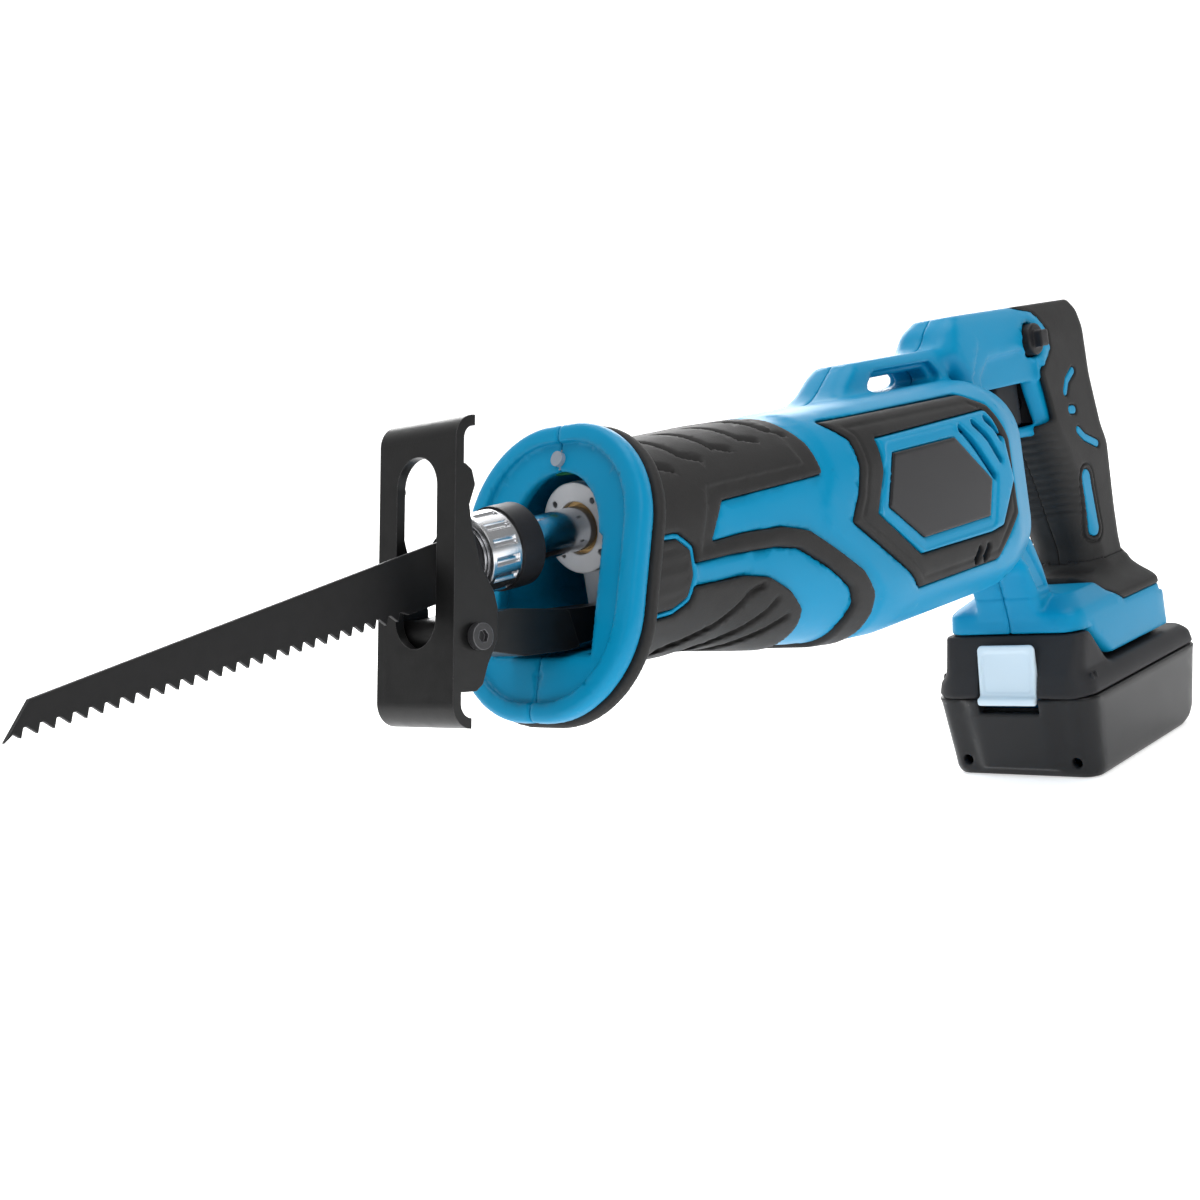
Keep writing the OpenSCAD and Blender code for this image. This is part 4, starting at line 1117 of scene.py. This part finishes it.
# %% Nubs on the battery's shoulder
recipe = Recipe("nubs", {
    "Count": 2, "First": (-0.0475, -0.0349, 0.0427), "Spacing": (0.0036, 0.0, 0.0),
    "Shape": (0.0010, 0.0011, 0.0024), "Material": finishes["case_top"]})
line = recipe.add("GeometryNodeMeshLine", {"mode": "OFFSET"}, {
    "Count": recipe.input("Count"), "Start Location": recipe.input("First"),
    "Offset": recipe.input("Spacing")})
ball = recipe.add("GeometryNodeMeshUVSphere", {}, {"Segments": 16, "Rings": 10, "Radius": 1.0})
placed = recipe.add("GeometryNodeInstanceOnPoints", {}, {
    "Points": line, "Instance": ball, "Scale": recipe.input("Shape")})
nubs = recipe.result("shoulder_nubs", new_object("nub_base", [(0, 0, 0)], []), placed)
nubs = on_both_sides("battery_nubs", nubs)

# %% [markdown]
# ## Finishes on, pieces on their bodies
# The frame's own parts keep their shape and only get a finish. A made piece takes the place of
# the part that it was modelled on, and rides on the same body, so it moves with its joint.

# %% Give every frame part its finish
BY_NODE = {
    "steel": "gear_axle crank_pin clamp_pin clamp_body arm_screw trigger_spring latch_spring "
             "rotor_shaft pinion motor_can rotor_core",
    "chrome": "plunger front_bearing rear_bearing", "gear": "drive_gear",
    "bright": "clamp_fins", "cast": "gearbox_housing gearbox_cover nose_ring",
    "bronze": "front_bush rear_bush gear_bush", "copper": "rotor_windings commutator",
    "black": "clamp_collar clamp_cap switch_body terminal_block motor_end_bell cooling_fan",
    "magnet": "motor_magnets carbon_brushes", "rubber": "plunger_seal",
    "blade": "blade", "shoe": "shoe_plate shoe_arm", "dark_steel": "shoe_pivot",
    "board": "led_board battery_board", "cell": "battery_cells", "lens": "led_lens",
}
for finish, names in BY_NODE.items():
    for name in names.split():
        nodes[name].data.materials.clear()
        nodes[name].data.materials.append(finishes[finish])

# %% Finish the made pieces and hang them on the frame
MADE = [
    (left_body, "blue", "housing", "left_shell", ["left_shell"]),
    (right_body, "blue", "housing", "right_shell", ["right_shell"]),
    (sleeve, "rubber", "housing", "nose_sleeve", ["nose_sleeve"]),
    (pads, "rubber", "housing", "side_pads", ["side_pads"]),
    (bands, "rubber", "housing", "side_bands", ["side_bands"]),
    (cover_left, "blue", "housing", "left_motor_cover", ["left_motor_cover"]),
    (cover_right, "blue", "housing", "right_motor_cover", ["right_motor_cover"]),
    (plates, "plate", "housing", "nameplates", ["nameplates"]),
    (grip_left, "rubber", "housing", "left_grip", ["left_grip"]),
    (grip_right, "rubber", "housing", "right_grip", ["right_grip"]),
    (base_cap, "rubber", "housing", "base_cap", ["base_cap"]),
    (battery_top, "case_top", "battery", "battery_upper", ["battery_upper"]),
    (battery_bottom, "case_low", "battery", "battery_lower", ["battery_lower"]),
    (button, "button", "latch", "latch_button", ["latch_button"]),
    (trigger, "black", "trigger", "trigger", ["trigger"]),
    (lock, "black", "lock", "lock_button", ["lock_button"]),
    (inlays, "blue", "housing", "grip_inlays", ["grip_inlays"]),
    (screws, "dark_steel", "housing", "housing_screws", ["housing_screws"]),
    (nubs, "case_top", "battery", "battery_upper", []),
]
for piece, finish, body, slot, replaced in MADE:
    piece.data.materials.clear()
    piece.data.materials.append(finishes[finish])
    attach(piece, body)
    if replaced:
        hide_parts(*replaced)
print(len(MADE), "made pieces")

# %% [markdown]
# ## The set
# A plain pale sweep and four large soft lights give the even light of a catalogue page. The
# paper glows a little itself, which keeps it near white where the lights fall off.

# %% Floor, lights and camera
CAMERA_AT = Vector((-662.68, -350.28, 191.91)) * MM
CAMERA_TURN, CAMERA_RISE = math.radians(-46.24), math.radians(7.07)
CAMERA_ROLL = math.radians(-9.60)
CAMERA_SENSOR, CAMERA_LENS = 36.0, 48.395
SWEEP_SIDE, SWEEP_BEND, SWEEP_R = 9.0, 1.6, 0.8
PAPER_GLOW, WORLD_GLOW = 0.55, 0.26


def sweep():
    """A floor that curves up into a backdrop behind the tool, as seen by the camera."""
    rows = [(-SWEEP_SIDE, 0.0), (SWEEP_BEND, 0.0)]
    rows += [(SWEEP_BEND + SWEEP_R * math.sin(a), SWEEP_R - SWEEP_R * math.cos(a))
             for a in np.linspace(0, math.pi / 2, 24)]
    rows += [(SWEEP_BEND + SWEEP_R, 4.0)]
    turn = Matrix.Rotation(CAMERA_TURN, 3, "Z")
    points, faces = [], []
    for along, up in rows:
        for side in (-SWEEP_SIDE, SWEEP_SIDE):
            points.append(turn @ Vector((side, along, up)) + Vector((-0.2, 0, -0.0002)))
    for i in range(len(rows) - 1):
        faces.append((2 * i, 2 * i + 1, 2 * i + 3, 2 * i + 2))
    piece = new_object("backdrop", points, faces)
    piece.data.shade_smooth()
    return piece


paper = Finish("pale_paper", (0.93, 0.93, 0.93))
paper.feed("Roughness", 0.75 + 0.1 * paper.noise(6, 2))
paper.shader.inputs["Emission Color"].default_value = (1, 1, 1, 1)
paper.shader.inputs["Emission Strength"].default_value = PAPER_GLOW
backdrop = sweep()
backdrop.data.materials.append(paper.material)


def area_light(name, at, target, size, power):
    data = bpy.data.lights.new(name, "AREA")
    data.shape, data.size, data.size_y = "RECTANGLE", size[0], size[1]
    data.energy = power
    lamp = bpy.data.objects.new(name, data)
    lamp.location = at
    lamp.rotation_euler = (Vector(target) - Vector(at)).to_track_quat("-Z", "Y").to_euler()
    bpy.context.scene.collection.objects.link(lamp)


LIGHTS = [  # name, place, target, size in metres, power in watts
    ("key", (-0.9, -1.3, 1.3), (-0.2, 0, 0.12), (1.2, 1.0), 12),
    ("top", (-0.1, 0.1, 1.7), (-0.15, 0, 0.1), (1.6, 1.2), 19),
    ("fill", (-1.7, 0.6, 0.7), (-0.2, 0, 0.12), (1.0, 1.0), 4),
    ("back", (1.0, 1.2, 0.9), (-0.1, 0, 0.12), (1.2, 1.0), 16),
]
for light in LIGHTS:
    area_light(*light)
print(len(LIGHTS), "lights")

world = bpy.data.worlds.new("studio")
world.use_nodes = True
background = world.node_tree.nodes["Background"]
background.inputs["Color"].default_value = (1, 1, 1, 1)
background.inputs["Strength"].default_value = WORLD_GLOW
bpy.context.scene.world = world

camera_data = bpy.data.cameras.new("camera")
camera_data.sensor_width, camera_data.lens = CAMERA_SENSOR, CAMERA_LENS
camera_data.clip_start, camera_data.clip_end = 0.01, 50
camera = bpy.data.objects.new("camera", camera_data)
bpy.context.scene.collection.objects.link(camera)
turn, rise, roll = CAMERA_TURN, CAMERA_RISE, CAMERA_ROLL
right = Vector((math.cos(turn), math.sin(turn), 0))
back = Vector((math.sin(turn) * math.cos(rise), -math.cos(turn) * math.cos(rise), math.sin(rise)))
up = back.cross(right)
across = math.cos(roll) * right + math.sin(roll) * up
upward = -math.sin(roll) * right + math.cos(roll) * up
axes = Matrix((across, upward, back)).transposed().to_4x4()
camera.matrix_world = Matrix.Translation(CAMERA_AT) @ axes
bpy.context.scene.camera = camera
bpy.context.scene.view_settings.view_transform = "Standard"
